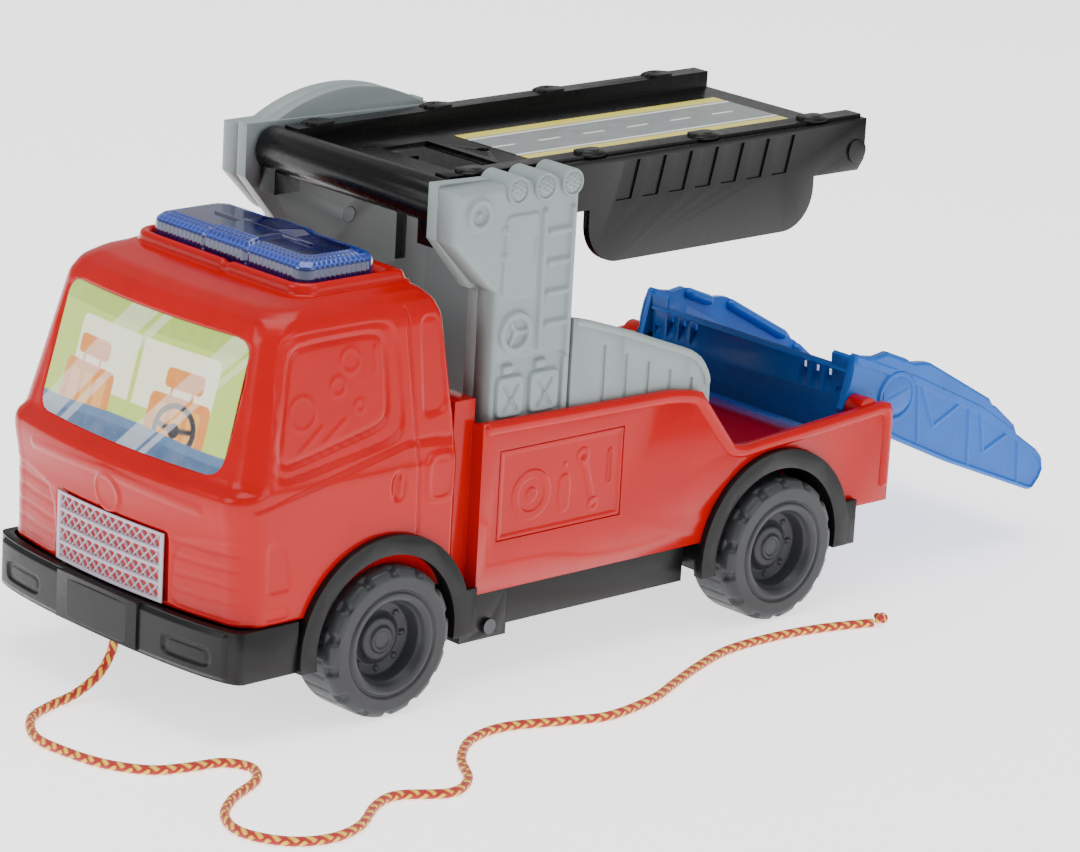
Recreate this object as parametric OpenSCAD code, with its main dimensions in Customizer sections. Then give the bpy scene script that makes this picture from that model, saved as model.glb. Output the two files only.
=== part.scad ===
// Pull-along toy truck with a tilting upper deck and a folding loading ramp.
// X points forwards, Y to the truck's left and Z up; the ground is z = 0.

/* [Overall sizes] */
// Distance between the front and rear axles
wheelbase = 189; // [155:1:228]
// Width of the cab and the bed over their side walls
body_w = 134; // [110:1:162]
// Rear axle to the back of the bed
rear_overhang = 60.6; // [50:0.2:73]
// Front axle to the front of the bumper plate
front_overhang = 72.3; // [66:0.1:87]
// Wall thickness of the moulded shells
wall = 2.4; // [2:0.1:2.9]

/* [Wheels] */
// Wheel diameter
wheel_d = 54; // [45:0.5:65]
// Wheel width
wheel_w = 22; // [18:0.5:24]
// How far the wheels stand out past the body sides
wheel_proud = 6; // [4:0.5:8]
// Diameter of the steel axles
axle_d = 4; // [3:0.1:5]
// Width of the black flare round each wheel arch
flare_w = 7; // [5:0.5:8.5]

/* [Heights] */
// Underside of the chassis above the ground
underside_z = 20; // [16:0.5:22]
// Height of the black sill between the wheels
sill_h = 15; // [13:0.5:17]
// Top of the bed walls beside the towers
bed_top_z = 97.5; // [90:0.5:105]
// Roof of the cab
roof_z = 147; // [140:0.5:160]
// Height of the deck pivot
pivot_z = 172.5; // [165:0.5:190]

/* [Deck and ramp] */
// Length of the deck from its pivot to its back edge
deck_len = 206; // [172:1:214]
// Diameter of the deck pivot pins
pivot_d = 8; // [6.5:0.5:10]
// Length of the ramp from its hinge to its tip
ramp_len = 119.6; // [100:0.2:143]
// Slope of the ramp as it hangs
ramp_slope = 25; // [20:1:28]
// Diameter of the ramp hinge pins
hinge_d = 5; // [4:0.5:6]

/* [Light bar and cord] */
// Length of the light bar across the roof
bar_w = 86; // [72:1:87]
// Travel of the light bar as a press button
press_travel = 1.6; // [1:0.1:1.8]
// Diameter of the pull cord
cord_d = 3.4; // [3:0.1:4]

/* [Hidden] */
$fn = 64;
e = 0.01;
fit = 0.3;

RED = "#d8231f";
BLACK = "#1c1c1e";
GREY = "#a9b1b1";
BLUE = "#2b6cb0";
TYRE = "#55585b";
STEEL = "#b9bcc0";

// Widths, measured from the centre plane
half = body_w / 2;
inner_half = half - wall;
tub_half = half - 19;
sill_half = half - 5;
tower_out = inner_half - fit;
tower_in = half - 17.5;
tower_seam = tower_in + 5.2;
deck_half = tower_in - 1.5;
rail_w = 7.6;
ramp_half = half - 10.2;
wheel_face = half + wheel_proud;

// Places along the truck, measured from the rear axle
wheel_r = wheel_d / 2;
arch_r = wheel_r + 4;
flare_r = arch_r + flare_w;
liner = 2.2;
front_x = wheelbase;
nose_x = front_x + front_overhang;
bed_back = -rear_overhang;
bed_front = front_x - flare_r - 4.2;
bulkhead_x = bed_front + 8.5;
cab_back = bulkhead_x + 1.5;
cab_x = nose_x - 4.1;
cab_bow = 7.5;
sill_z = underside_z + sill_h;
floor_t = wall;
tub_floor = underside_z + floor_t;
bed_bottom = sill_z + fit;
bed_floor = bed_bottom + 19.7;
tub_front = nose_x - 23;
sill_back = flare_r + 3;
sill_front = bed_front - 20;

// Towers
tower_front = bed_front - 5.2;
tower_back = tower_front - 37;
tower_top = pivot_z + 8.5;
pivot_x = tower_front + 9.9;
head_front = pivot_x + 10.6;
head_bottom = pivot_z - 10.1;
wide_tower_back = tower_back - 30;

// Deck
deck_floor = pivot_z + 2.5;
deck_t = 2.5;
deck_back = pivot_x - deck_len;
rail_top = pivot_z + 8.5;
bar_r = pivot_d / 2 + 4;

// Ramp
hinge_x = bed_back + 11.6;
hinge_z = bed_floor + 16.5;
ramp_floor = 13;
ramp_tip_w = 7.6;
ramp_tip_x = hinge_x - ramp_len * cos(ramp_slope) - ramp_tip_w * sin(ramp_slope);
centre_x = (nose_x + ramp_tip_x) / 2;

// Light bar
bar_half = bar_w / 2;
bar_back = cab_back + 19.4;
bar_front = bar_back + 34.6;
bar_gap = 0.4;
collar_z = roof_z + 4.5;
lens_top = collar_z + 8;
flange_t = 1.8;
flange_z = roof_z - wall - fit - flange_t;
board_t = 1.6;
board_top = flange_z - 8;
plunger_z = board_top + 3 + press_travel;
plunger_r = 4;

// Battery bay
cell_d = 10.5;
cell_len = 44.5;
cell_pitch = 11.5;
bay_x = (sill_back + sill_front) / 2 + 8;
bay_len = cell_len + 20;
cell_x = bay_x + 5;
door_screw_x = bay_x - bay_len / 2 + 4.5;
bay_w = 3 * cell_pitch + 6;

// Screws
screw_d = 3;
head_d = 5.6;
head_t = 2;
boss_d = 8;
chassis_bosses = [[-flare_r - 9, 26], [sill_back + 6, 38], [tower_front - 8, 38]];
cab_bosses = [[tub_front - 8, 38]];
function mirrored(list) = concat(list, [for (p = list) [p[0], -p[1]]]);

// Pull cord: its hole in the bumper floor and the points of its route on the ground
bumper_bottom = underside_z + 2.8;
cord_hole_x = nose_x - 8.3;
cord_hole_y = 0;
cord_r = cord_d / 2;
cord_lie = cord_r + 0.02;
cord_route = [
    [cord_hole_x - centre_x, 0, bumper_bottom + floor_t - 0.05], [cord_hole_x - centre_x, 0, 19],
    [205, 0, 13], [210, 0, 7.5], [219, 0, 3], [231, 2, 1.7], [244, 9, 1.7], [253, 24, 1.7],
    [253, 40, 1.7], [249, 57, 1.7],
    [240, 70, 1.7], [228, 75, 1.7], [216, 78, 1.7], [211, 87, 1.7], [217, 97, 1.7], [234, 106, 1.7],
    [246, 117, 1.7], [250, 131, 1.7], [243, 145, 1.7], [230, 151, 1.7], [215, 148, 1.7],
    [199, 137, 1.7], [187, 134, 1.7], [171, 142, 1.7], [158, 136, 1.7], [147, 120, 1.7],
    [132, 108, 1.7], [114, 105, 1.7], [93, 112, 1.7], [76, 117, 1.7], [52, 113, 1.7],
    [33, 105, 1.7], [14, 97, 1.7], [-8, 90, 1.7], [-33, 89, 1.7], [-55, 92, 1.7], [-75, 98, 1.7]];
cord_sides = 8;
cord_rings = 76;

module in_place() {
    translate([-centre_x, 0, 0]) children();
}

// A plate with its outline in the XZ plane, from y = a to y = b
module upright(a, b) {
    translate([0, b, 0]) rotate([90, 0, 0]) linear_extrude(b - a) children();
}

// A round bar along Y, centred at (x, z), from y = a to y = b
module cross_bar(x, z, r, a, b) {
    translate([x, b, z]) rotate([90, 0, 0]) cylinder(r = r, h = b - a);
}

module box(x, y, z) {
    translate([x[0], y[0], z[0]]) cube([x[1] - x[0], y[1] - y[0], z[1] - z[0]]);
}

module both_sides() {
    children();
    mirror([0, 1, 0]) children();
}

// ---------------------------------------------------------------- chassis

// Plan of the chassis: narrow between the wheels, wide at the sill
module tub_plan(inset = 0) {
    x0 = bed_back + 4 + inset;
    x1 = tub_front - inset;
    n = tub_half - inset;
    w = sill_half - inset;
    polygon([[x0, -n], [sill_back + inset, -n], [sill_back + inset, -w], [sill_front - inset, -w],
             [sill_front - inset, -n], [x1, -n], [x1, n], [sill_front - inset, n],
             [sill_front - inset, w], [sill_back + inset, w], [sill_back + inset, n], [x0, n]]);
}

module axle_block(x) {
    both_sides() box([x - 6, x + 6], [tub_half - 9, tub_half], [underside_z, wheel_r + 6]);
}

module axle_bores(x) {
    cross_bar(x, wheel_r, axle_d / 2 + 0.06, -half, half);
}

// Box under each front corner of the bed, held by one screw
module side_box(y0, y1) {
    box([sill_front + 0.1, bed_front + 2], [y0, y1], [underside_z - 4, sill_z]);
}

module chassis_tub() color(BLACK) in_place() difference() {
    union() {
        difference() {
            translate([0, 0, underside_z]) linear_extrude(sill_h) tub_plan();
            translate([0, 0, tub_floor]) linear_extrude(sill_h) tub_plan(wall);
        }
        translate([tub_front - e, -tub_half + 6, underside_z])
            cube([10, 2 * tub_half - 12, floor_t]);
        axle_block(0);
        axle_block(front_x);
        both_sides() difference() {
            side_box(tub_half - wall, sill_half);
            box([sill_front + wall, bed_front + 2 - wall], [tub_half, sill_half - wall],
                [tub_floor - 4, sill_z + 1]);
        }
    }
    axle_bores(0);
    axle_bores(front_x);
    // Battery opening, with a rebate that the door lies in
    box([bay_x - bay_len / 2, bay_x + bay_len / 2], [-bay_w / 2, bay_w / 2], [0, tub_floor + 1]);
    // Slot of the on and off switch
    translate([switch_x - 6, switch_y - 2.5, underside_z - 1]) cube([12, 5, floor_t + 2]);
    // Sound holes under the speaker
    for (a = [0:60:300]) translate([speaker_x + 7 * cos(a), 7 * sin(a), underside_z - 1])
        cylinder(d = 2.6, h = floor_t + 2);
    translate([speaker_x, 0, underside_z - 1]) cylinder(d = 2.6, h = floor_t + 2);
    // Screw holes, with room for the heads
    for (p = mirrored(concat(chassis_bosses, cab_bosses))) translate([p[0], p[1], underside_z - 1]) {
        cylinder(d = screw_d + 0.3, h = 10);
        cylinder(d = head_d + 0.6, h = 1 + head_t - 1.2);
    }
    both_sides() cross_bar(side_screw_x, side_screw_z, screw_d / 2, sill_half - 8, sill_half + 1);
}

module front_bumper() color(BLACK) in_place() difference() {
    union() {
        translate([0, 0, bumper_bottom]) linear_extrude(sill_z + 6 - bumper_bottom) difference() {
            bumper_plan(0);
            bumper_plan(3);
        }
        translate([0, 0, bumper_bottom]) linear_extrude(floor_t) difference() {
            bumper_plan(0);
            translate([tub_front - 60, -body_w]) square([60 + 1, 2 * body_w]);
        }
        box([nose_x - 5, nose_x], [-22.5, 22.5], [bumper_bottom + 1, sill_z + 5.8]);
    }
    translate([cord_hole_x, cord_hole_y, bumper_bottom - 1]) cylinder(d = cord_d + 1.2, h = 10);
}

// Bowed plan of the bumper, moved in by an inset
module bumper_plan(inset) {
    w = half + 1 - inset;
    x1 = nose_x - 1.5 - inset;
    back = front_x + flare_r + 0.3;
    polygon(concat([[back, -w]],
        [for (i = [-12:12]) [x1 - 9.5 * pow(i / 12, 2), w * sin(i * 7.5)]],
        [[back, w]]));
}

module fender_ring(r0, r1, y0, y1) {
    difference() {
        cross_bar(0, wheel_r, r1, y0, y1);
        cross_bar(0, wheel_r, r0, y0 - 1, y1 + 1);
        box([-2 * r1, 2 * r1], [y0 - 1, y1 + 1], [-2 * r1, underside_z + 2]);
    }
}

// Liner over the wheel with a flare round the arch, and a leg down to the sill
module fender(leg) {
    fender_ring(arch_r, arch_r + liner, tub_half + 0.1, half + 2.5);
    fender_ring(arch_r, flare_r, inner_half + 0.6, half + 2.5);
    difference() {
        union() {
            box([-flare_r - leg, -arch_r], [sill_half + 0.2, half + 2.3],
                [underside_z + 2, bed_bottom - fit]);
            box([-flare_r - leg, -arch_r], [half + 0.1, half + 2.3], [underside_z + 2, wheel_r + 12]);
        }
        cross_bar(0, wheel_r, arch_r + 0.5, 0, body_w);
    }
}

module front_fender_left() color(BLACK) in_place() translate([front_x, 0, 0]) fender(3);
module front_fender_right() color(BLACK) in_place() translate([front_x, 0, 0])
    mirror([0, 1, 0]) fender(3);
module rear_fender_left() color(BLACK) in_place() fender(4);
module rear_fender_right() color(BLACK) in_place() mirror([0, 1, 0]) fender(4);

// ---------------------------------------------------------------- cab

// Outline of the cab seen from above, bowed at the front with rounded corners
function cab_outline(x, w, back) = concat([[back, -w + 3], [back + 3, -w]],
    [for (a = [-90:15:-30]) [x - bow_at(w - 9) - 9 + 9 * cos(a), -w + 9 + 9 * sin(a)]],
    [for (i = [-5:5]) [x - bow_at(i * (w - 9) / 5), i * (w - 9) / 5]],
    [for (a = [30:15:90]) [x - bow_at(w - 9) - 9 + 9 * cos(a), w - 9 + 9 * sin(a)]],
    [[back + 3, w], [back, w - 3]]);
function bow_at(y) = cab_bow * pow(y / half, 2);

module slice(z, x, w, back) {
    translate([0, 0, z]) linear_extrude(0.4) polygon(cab_outline(x, w, back));
}

belt_z = sill_z + 51;
glass_low = [cab_x - 2.9, belt_z + 3.5];
glass_high = [cab_x - 15.9, roof_z - 9.5];
cab_low = sill_z + 6.5;

module cab_lower(t, low) hull() {
    slice(low, cab_x - 0.6 - t, half - 0.6 - t, cab_back + t);
    slice(belt_z - 14, cab_x - t, half - t, cab_back + t);
    slice(belt_z - 3, cab_x + 2 - t, half - t, cab_back + t);
    slice(belt_z + 1 - t, cab_x + 0.8 - t, half - 0.4 - t, cab_back + t);
}

module cab_upper(t) hull() {
    slice(belt_z - 2 * t, cab_x - 2.4 - t, half - 0.6 - t, cab_back + t);
    slice(glass_low[1], glass_low[0] - t, half - 1 - t, cab_back + t);
    slice(glass_high[1], glass_high[0] - t, half - 8.5 - t, cab_back + 3.5 + t);
    slice(roof_z - 5 - t / 2, glass_high[0] - 4 - t, half - 11.5 - t, cab_back + 5 + t);
    slice(roof_z - 0.4 - t, glass_high[0] - 17 - t, half - 18 - t, cab_back + 10 + t);
}

// Band that follows the slope and bow of the windscreen, from depth a to b
module glass_band(w_low, w_high, margin, a, b) {
    n = 8;
    lo = glass_low[1] + margin;
    hi = glass_high[1] - margin;
    slope = (glass_high[0] - glass_low[0]) / (glass_high[1] - glass_low[1]);
    points = [for (d = [a, b], z = [lo, hi], i = [0:n])
        let (w = (z == lo ? w_low : w_high), y = w * (2 * i / n - 1))
        [glass_low[0] + slope * (z - glass_low[1]) - bow_at(y) + d, y, z]];
    r = n + 1;
    strips = [for (i = [0:n - 1]) each [
        [i, i + 1, i + r + 1, i + r],
        [2 * r + i, 3 * r + i, 3 * r + i + 1, 2 * r + i + 1],
        [i, 2 * r + i, 2 * r + i + 1, i + 1],
        [r + i, r + i + 1, 3 * r + i + 1, 3 * r + i]]];
    ends = [[0, r, 3 * r, 2 * r], [n, n + 2 * r, n + 3 * r, n + r]];
    polyhedron(points, concat(strips, ends), convexity = 4);
}

module cab_shell() color(RED) in_place() difference() {
    union() {
        difference() {
            union() {
                cab_lower(0, cab_low);
                cab_upper(0);
                // Collar round the light bar
                box([bar_back - 12, bar_front + 3], [-bar_half - 1.8, bar_half + 1.8],
                    [roof_z - wall, collar_z]);
            }
            cab_lower(wall, cab_low - 1);
            cab_upper(wall);
        }
        // Screw columns on ribs from the front wall, and two on the back wall
        for (p = mirrored(cab_bosses)) {
            translate([p[0], p[1], tub_floor + 0.1]) cylinder(d = boss_d, h = 34);
            box([p[0], cab_x - 5], [p[1] - 1, p[1] + 1], [cab_low + 4, tub_floor + 34]);
        }
        // Posts that carry the circuit board
        for (p = board_posts) translate([p[0], p[1], board_top])
            cylinder(d = 6, h = roof_z - wall - board_top + 0.5);
    }
    // Opening for the light bar
    box([bar_back - bar_gap, bar_front + bar_gap], [-bar_half - bar_gap, bar_half + bar_gap],
        [roof_z - 2 * wall, collar_z + 1]);
    both_sides() cross_bar(front_x, wheel_r, flare_r + 0.2, half - 12, half + 5);
    both_sides() cross_bar(front_x, wheel_r, arch_r + liner + 0.3, tub_half, half);
    // Seat of the grille and of the windscreen label
    translate([0, 0, grille_z - 12.6]) linear_extrude(25.2) grille_plan(-1.4, 3);
    glass_band(51.6, 50.4, 1.3, -0.7, 4);
    for (p = mirrored(cab_bosses)) translate([p[0], p[1], tub_floor - 1])
        cylinder(d = screw_d, h = 14);
    for (p = board_posts) translate([p[0], p[1], board_top - 1]) cylinder(d = 2, h = 6);
}

grille_z = belt_z - 31.5;
module grille_plan(a, b) {
    n = 8;
    polygon(concat([for (i = [0:n]) let (y = 30 * (2 * i / n - 1)) [cab_x - bow_at(y) + a, y]],
        [for (i = [n:-1:0]) let (y = 30 * (2 * i / n - 1)) [cab_x - bow_at(y) + b, y]]));
}

module grille_insert() color("silver") in_place() difference() {
    translate([0, 0, grille_z - 12.5]) linear_extrude(25) grille_plan(-1.3, 1.1);
    for (k = [0:3]) box([cab_x - 0.7, cab_x + 3], [-27.5, 27.5],
        [grille_z - 10.6 + 5.5 * k, grille_z - 6.4 + 5.5 * k]);
}

module windscreen_label() color("#cfe3a0") in_place() glass_band(51, 49.8, 1.8, -0.6, -0.1);

// ---------------------------------------------------------------- light bar and sound

board_posts = [[bar_back - 8, 20], [bar_back - 8, -20], [bar_front + 5.5, 20], [bar_front + 5.5, -20]];

// Outside of the lens moved in by t: a block with a sloping front and ends
module lens_form(t) difference() {
    box([bar_back + t, bar_front - t], [-bar_half + t, bar_half - t], [flange_z - t, lens_top - t]);
    translate([bar_front - t, -half, collar_z]) rotate([0, -30, 0]) cube([20, body_w, 20]);
    both_sides() translate([0, bar_half - t, collar_z]) rotate([20, 0, 0]) cube([2 * nose_x, 20, 20]);
}

module light_bar_lens() color("#2438a8") in_place() {
    difference() {
        union() {
            lens_form(0);
            box([bar_back - 1.6, bar_front + 1.6], [-bar_half - 1.6, bar_half + 1.6],
                [flange_z, flange_z + flange_t]);
        }
        lens_form(1.8);
    }
    translate([bar_mid, 0, plunger_z]) cylinder(r = plunger_r, h = lens_top - 1 - plunger_z);
}

bar_mid = (bar_back + bar_front) / 2;
module circuit_board() color("#2f7d43") in_place() difference() {
    box([bar_back - 13, bar_front + 10], [-26, 26], [board_top - board_t, board_top]);
    for (p = board_posts) translate([p[0], p[1], board_top - 3]) cylinder(d = 2.2, h = 4);
}

module board_screws() color(STEEL) in_place() for (p = board_posts)
    translate([p[0], p[1], board_top - board_t - 1.4]) {
        cylinder(d = 4, h = 1.4);
        cylinder(d = 2, h = 1.4 + board_t + 4);
    }

module led_lamps() color("white") in_place()
    for (y = [-18, 18]) translate([bar_mid, y, board_top]) {
        cylinder(d = 5, h = 4.5);
        translate([0, 0, 4.5]) sphere(d = 5);
    }

module switch_dome() color("#d8d8d0") in_place()
    translate([bar_mid, 0, board_top]) cylinder(r1 = 5, r2 = 3, h = 4.4);

speaker_x = (sill_front + front_x - wheel_r) / 2 + 6;
module speaker() color("#3c3c3c") in_place() translate([speaker_x, 0, tub_floor]) {
    cylinder(d = 27, h = 3);
    cylinder(d1 = 26, d2 = 16, h = 7);
    cylinder(d = 15, h = 10);
}

switch_x = sill_back + 2;
switch_y = 22;
module slide_switch_body() color("#404040") in_place() difference() {
    translate([switch_x - 10, switch_y - 5, tub_floor]) cube([20, 10, 7]);
    translate([switch_x - 8, switch_y - 4, tub_floor - 1]) cube([16, 8, 4.3]);
}

// Off at rest, slid forwards to switch on
module slide_switch_knob() color("white") in_place() {
    translate([switch_x - 7.6, switch_y - 3.6, tub_floor + 0.2]) cube([10, 7.2, 2.4]);
    translate([switch_x - 5.6, switch_y - 2.2, underside_z - 1]) cube([6, 4.4, floor_t + 2]);
}

// ---------------------------------------------------------------- batteries

module battery_box() color("#2a2a2a") in_place() difference() {
    union() {
        difference() {
            box([bay_x - bay_len / 2, bay_x + bay_len / 2], [-bay_w / 2, bay_w / 2],
                [tub_floor, tub_floor + cell_d + 4]);
            box([bay_x - bay_len / 2 + 2, bay_x + bay_len / 2 - 2], [-bay_w / 2 + 2, bay_w / 2 - 2],
                [tub_floor - 1, tub_floor + cell_d + 2]);
        }
        // Boss for the door's screw
        translate([door_screw_x, 0, tub_floor]) cylinder(d = 7, h = cell_d + 3);
    }
    translate([door_screw_x, 0, tub_floor - 1]) cylinder(d = screw_d, h = 9);
}

module cell_row(x) {
    for (k = [-1:1]) translate([x, k * cell_pitch, tub_floor + cell_d / 2 + 0.5]) rotate([0, 90, 0])
        children();
}

module batteries() color("#8a8f3a") in_place() cell_row(cell_x - cell_len / 2) {
    union() {
        cylinder(d = cell_d, h = cell_len - 1);
        cylinder(d = 3.8, h = cell_len);
    }
}

contact_t = 2.7;
module battery_contacts() color(STEEL) in_place() {
    cell_row(cell_x - cell_len / 2 - contact_t - 0.05) cylinder(d = 8, h = contact_t);
    cell_row(cell_x + cell_len / 2 + 0.05) cylinder(d = 8, h = contact_t);
}

module battery_door() color(BLACK) in_place() difference() {
    box([bay_x - bay_len / 2 + 0.25, bay_x + bay_len / 2 - 0.25], [-bay_w / 2 + 0.25, bay_w / 2 - 0.25],
        [underside_z + 0.2, tub_floor - 0.2]);
    translate([door_screw_x, 0, underside_z - 1]) cylinder(d = screw_d, h = 9);
}

module battery_door_screw() color(STEEL) in_place() translate([door_screw_x, 0, underside_z - 1.6]) {
    cylinder(d = head_d, h = 1.8);
    cylinder(d = screw_d, h = 8);
}

// ---------------------------------------------------------------- bed

// Side view of a bed wall: high beside the towers, low at the back, cut by the wheel arch
module bed_profile() difference() {
    polygon([[bed_front, bed_bottom], [bed_front, bed_top_z], [flare_r + 18.7, bed_top_z - 1.5],
             [flare_r + 8, bed_top_z - 3], [flare_r + 3, bed_top_z - 4.3],
             [flare_r - 15, bed_floor + 15.5], [flare_r - 20.5, bed_floor + 14.3],
             [bed_back + 5, bed_floor + 19.5], [bed_back + 1.5, bed_floor + 18.5],
             [bed_back, bed_floor + 15.6], [bed_back, bed_bottom]]);
    translate([0, wheel_r]) circle(r = flare_r + 0.2);
    translate([-flare_r - 0.2, 0]) square([2 * flare_r + 0.4, wheel_r]);
}

module bed_tub() color(RED) in_place() difference() {
    union() {
        both_sides() {
            upright(inner_half, half) bed_profile();
            // Boss that carries the ramp's hinge pin
            cross_bar(hinge_x, hinge_z, hinge_d / 2 + 2.5, ramp_half + 0.6, inner_half + 0.5);
            box([hinge_x - 1, hinge_x + 1], [ramp_half + 0.6, inner_half + 0.5],
                [bed_floor - 1, hinge_z - hinge_d / 2 - 0.5]);
            // Housing over the back wheel
            upright(tub_half + 0.2, inner_half + 0.5) intersection() {
                difference() {
                    translate([0, wheel_r]) circle(r = arch_r + liner + 0.3 + wall);
                    translate([0, wheel_r]) circle(r = arch_r + liner + 0.3);
                }
                translate([-flare_r, bed_floor - 3]) square([2 * flare_r, flare_r]);
            }
        }
        box([bed_back, bed_front], [-inner_half - 0.5, inner_half + 0.5], [bed_floor - wall, bed_floor]);
        // Bulkhead behind the cab
        box([bed_front - 1, bulkhead_x], [-half + 6, half - 6], [bed_bottom, bed_top_z + 8]);
        box([bed_front - wall, bed_front], [-half + 1, half - 1], [bed_bottom, bed_top_z - 1]);
        for (p = mirrored(chassis_bosses)) translate([p[0], p[1], tub_floor + 0.1])
            cylinder(d = boss_d, h = bed_floor - tub_floor - 1);
    }
    both_sides() upright(tub_half - 0.2, inner_half + 0.5) translate([0, wheel_r])
        circle(r = arch_r + liner + 0.3);
    box([bed_front + wall, bulkhead_x - wall], [-half + 6 + wall, half - 6 - wall],
        [bed_bottom - 1, bed_top_z + 8 - wall]);
    for (p = mirrored(chassis_bosses)) translate([p[0], p[1], tub_floor - 1])
        cylinder(d = screw_d, h = 14);
    both_sides() cross_bar(hinge_x, hinge_z, hinge_d / 2, ramp_half, half - 1);
    // Recessed relief panel on each side
    both_sides() box([sill_back + 38, bed_front - 8.4], [half - 0.6, half + 1],
        [bed_bottom + 18, bed_top_z - 11]);
}

module side_profile(front) polygon([
    [front, bed_floor + 0.2], [front, bed_top_z + 31.5], [front - 5, bed_top_z + 30.4],
    [front - 25, bed_top_z + 24], [flare_r + 8, bed_top_z + 11.6], [flare_r + 2, bed_top_z + 8],
    [flare_r - 3, bed_top_z], [flare_r - 3.8, bed_floor + 0.2]]);

module side_panel(front) difference() {
    upright(tower_out - 3, tower_out) side_profile(front);
    for (k = [0:4]) box([flare_r + 6 + 11 * k, flare_r + 7.6 + 11 * k], [tower_out - 0.8, tower_out + 1],
        [bed_top_z - 14, bed_top_z + 1 + 4.6 * k]);
}

module side_panel_left() color(GREY) in_place() side_panel(tower_back - 0.3);
module side_panel_right() color(GREY) in_place() mirror([0, 1, 0]) side_panel(wide_tower_back - 0.3);

// ---------------------------------------------------------------- towers

module tower_profile(back, t = 0) polygon([
    [back + t, bed_floor + 0.2 + t], [tower_front - t, bed_floor + 0.2 + t],
    [tower_front - t, pivot_z - 29 + t / 2], [tower_front + 4.4 - t, pivot_z - 29 + t],
    [head_front - t, head_bottom + t / 2], [head_front - t, tower_top + 1 - t],
    [back + t, tower_top - 1 - t]]);

// Arched hump along the top of the wide right-hand tower
module arch_profile() intersection() {
    translate([wide_tower_back + 39, tower_top - 62]) circle(r = 71);
    translate([wide_tower_back + 2, tower_top - 2.5]) square([71, 60]);
}

module tower_shell(back, a, b, open_a) difference() {
    upright(a, b) tower_profile(back);
    upright(open_a ? a - 1 : a + 2, open_a ? b - 2 : b + 1) tower_profile(back, wall);
}

module pin_boss(a, b) cross_bar(pivot_x, pivot_z, pivot_d / 2 + 3, a, b);
module pin_bore() cross_bar(pivot_x, pivot_z, pivot_d / 2, tower_in - 1, tower_out - 2);

// Relief of ladder, hatch, ring, lamps and cans on the outer face
module tower_relief(lamps) {
    y0 = tower_out - 0.6;
    if (lamps) for (k = [0:2])
        cross_bar(tower_back + 4.9 + 12.6 * k, tower_top - 2, 5, tower_seam + 0.2, tower_out + 1.2);
    difference() {
        cross_bar(pivot_x + 0.8, pivot_z + 0.5, 7, y0, tower_out + 1);
        cross_bar(pivot_x + 0.8, pivot_z + 0.5, 4.4, y0 - 1, tower_out + 2);
    }
    cross_bar(pivot_x + 0.8, pivot_z + 0.5, 1.8, y0, tower_out + 0.6);
    for (x = [4.2, 16.6]) box([tower_back + x - 1, tower_back + x + 1], [y0, tower_out + 1.1],
        [pivot_z - 51, pivot_z - 1.5 - x * 0.1]);
    for (k = [0:3]) box([tower_back + 4, tower_back + 17], [y0, tower_out + 0.9],
        [pivot_z - 44 + 11.3 * k, pivot_z - 42.2 + 11.3 * k]);
    box([tower_back + 20.5, tower_front - 2], [y0, tower_out + 0.5], [pivot_z - 32.5, pivot_z - 1.5]);
    difference() {
        cross_bar(tower_back + 28, pivot_z - 44.2, 8.3, y0, tower_out + 1.4);
        cross_bar(tower_back + 28, pivot_z - 44.2, 5.2, y0 - 1, tower_out + 2);
    }
    cross_bar(tower_back + 28, pivot_z - 44.2, 2, y0, tower_out + 1);
    for (a = [90, 210, 330]) translate([tower_back + 28, y0, pivot_z - 44.2]) rotate([0, a, 0])
        translate([0, 0, -0.8]) cube([6, 1.4, 1.6]);
    for (x = [5.4, 21]) box([tower_back + x, tower_back + x + 13], [y0, tower_out + 0.7],
        [bed_top_z + 0.3, bed_top_z + 14]);
}

module tower_outer(back, lamps) difference() {
    union() {
        tower_shell(back, tower_seam + 0.1, tower_out, true);
        tower_relief(lamps);
        if (!lamps) upright(tower_seam + 0.1, tower_out - 1) arch_profile();
        intersection() {
            pin_boss(tower_seam + 0.1, tower_out - 1);
            upright(tower_in, tower_out) tower_profile(back);
        }
    }
    pin_bore();
    for (p = tower_bolts) cross_bar(p[0], p[1], screw_d / 2, tower_seam - 1, tower_out - 2.5);
}

tower_bolts = [[tower_front - 5, pivot_z + 3], [tower_front + 3, pivot_z - 14],
               [tower_back + 8, pivot_z - 30], [tower_front - 6, bed_top_z + 22]];

module tower_inner(back) difference() {
    union() {
        tower_shell(back, tower_in, tower_seam - 0.1, false);
        pin_boss(tower_in, tower_seam - 0.1);
        for (p = tower_bolts) cross_bar(p[0], p[1], screw_d / 2 + 1.8, tower_in + 0.5, tower_seam - 0.1);
    }
    pin_bore();
    for (p = tower_bolts) {
        cross_bar(p[0], p[1], screw_d / 2, tower_in - 1, tower_seam + 1);
        cross_bar(p[0], p[1], head_d / 2 + 0.2, tower_in - 1, tower_in + 1.5);
    }
}

// Posts inside the outer shells that the tower screws bite into
module tower_posts() difference() {
    for (p = tower_bolts) cross_bar(p[0], p[1], screw_d / 2 + 1.8, tower_seam + 0.1, tower_out - 1);
    for (p = tower_bolts) cross_bar(p[0], p[1], screw_d / 2, tower_seam - 1, tower_out - 2.5);
}

module tower_left_outer() color(GREY) in_place() {
    tower_outer(tower_back, true);
    tower_posts();
}

module tower_left_inner() color(GREY) in_place() tower_inner(tower_back);

module tower_right_outer() color(GREY) in_place() mirror([0, 1, 0]) {
    tower_outer(wide_tower_back, false);
    tower_posts();
}

module tower_right_inner() color(GREY) in_place() mirror([0, 1, 0]) difference() {
    union() {
        tower_inner(wide_tower_back);
        upright(tower_in + 1, tower_seam - 0.1) arch_profile();
    }
    // Tall slot beside the deck
    box([wide_tower_back + 10, wide_tower_back + 15], [tower_in - 1, tower_in + 3],
        [pivot_z - 50, pivot_z - 22]);
}

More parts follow.
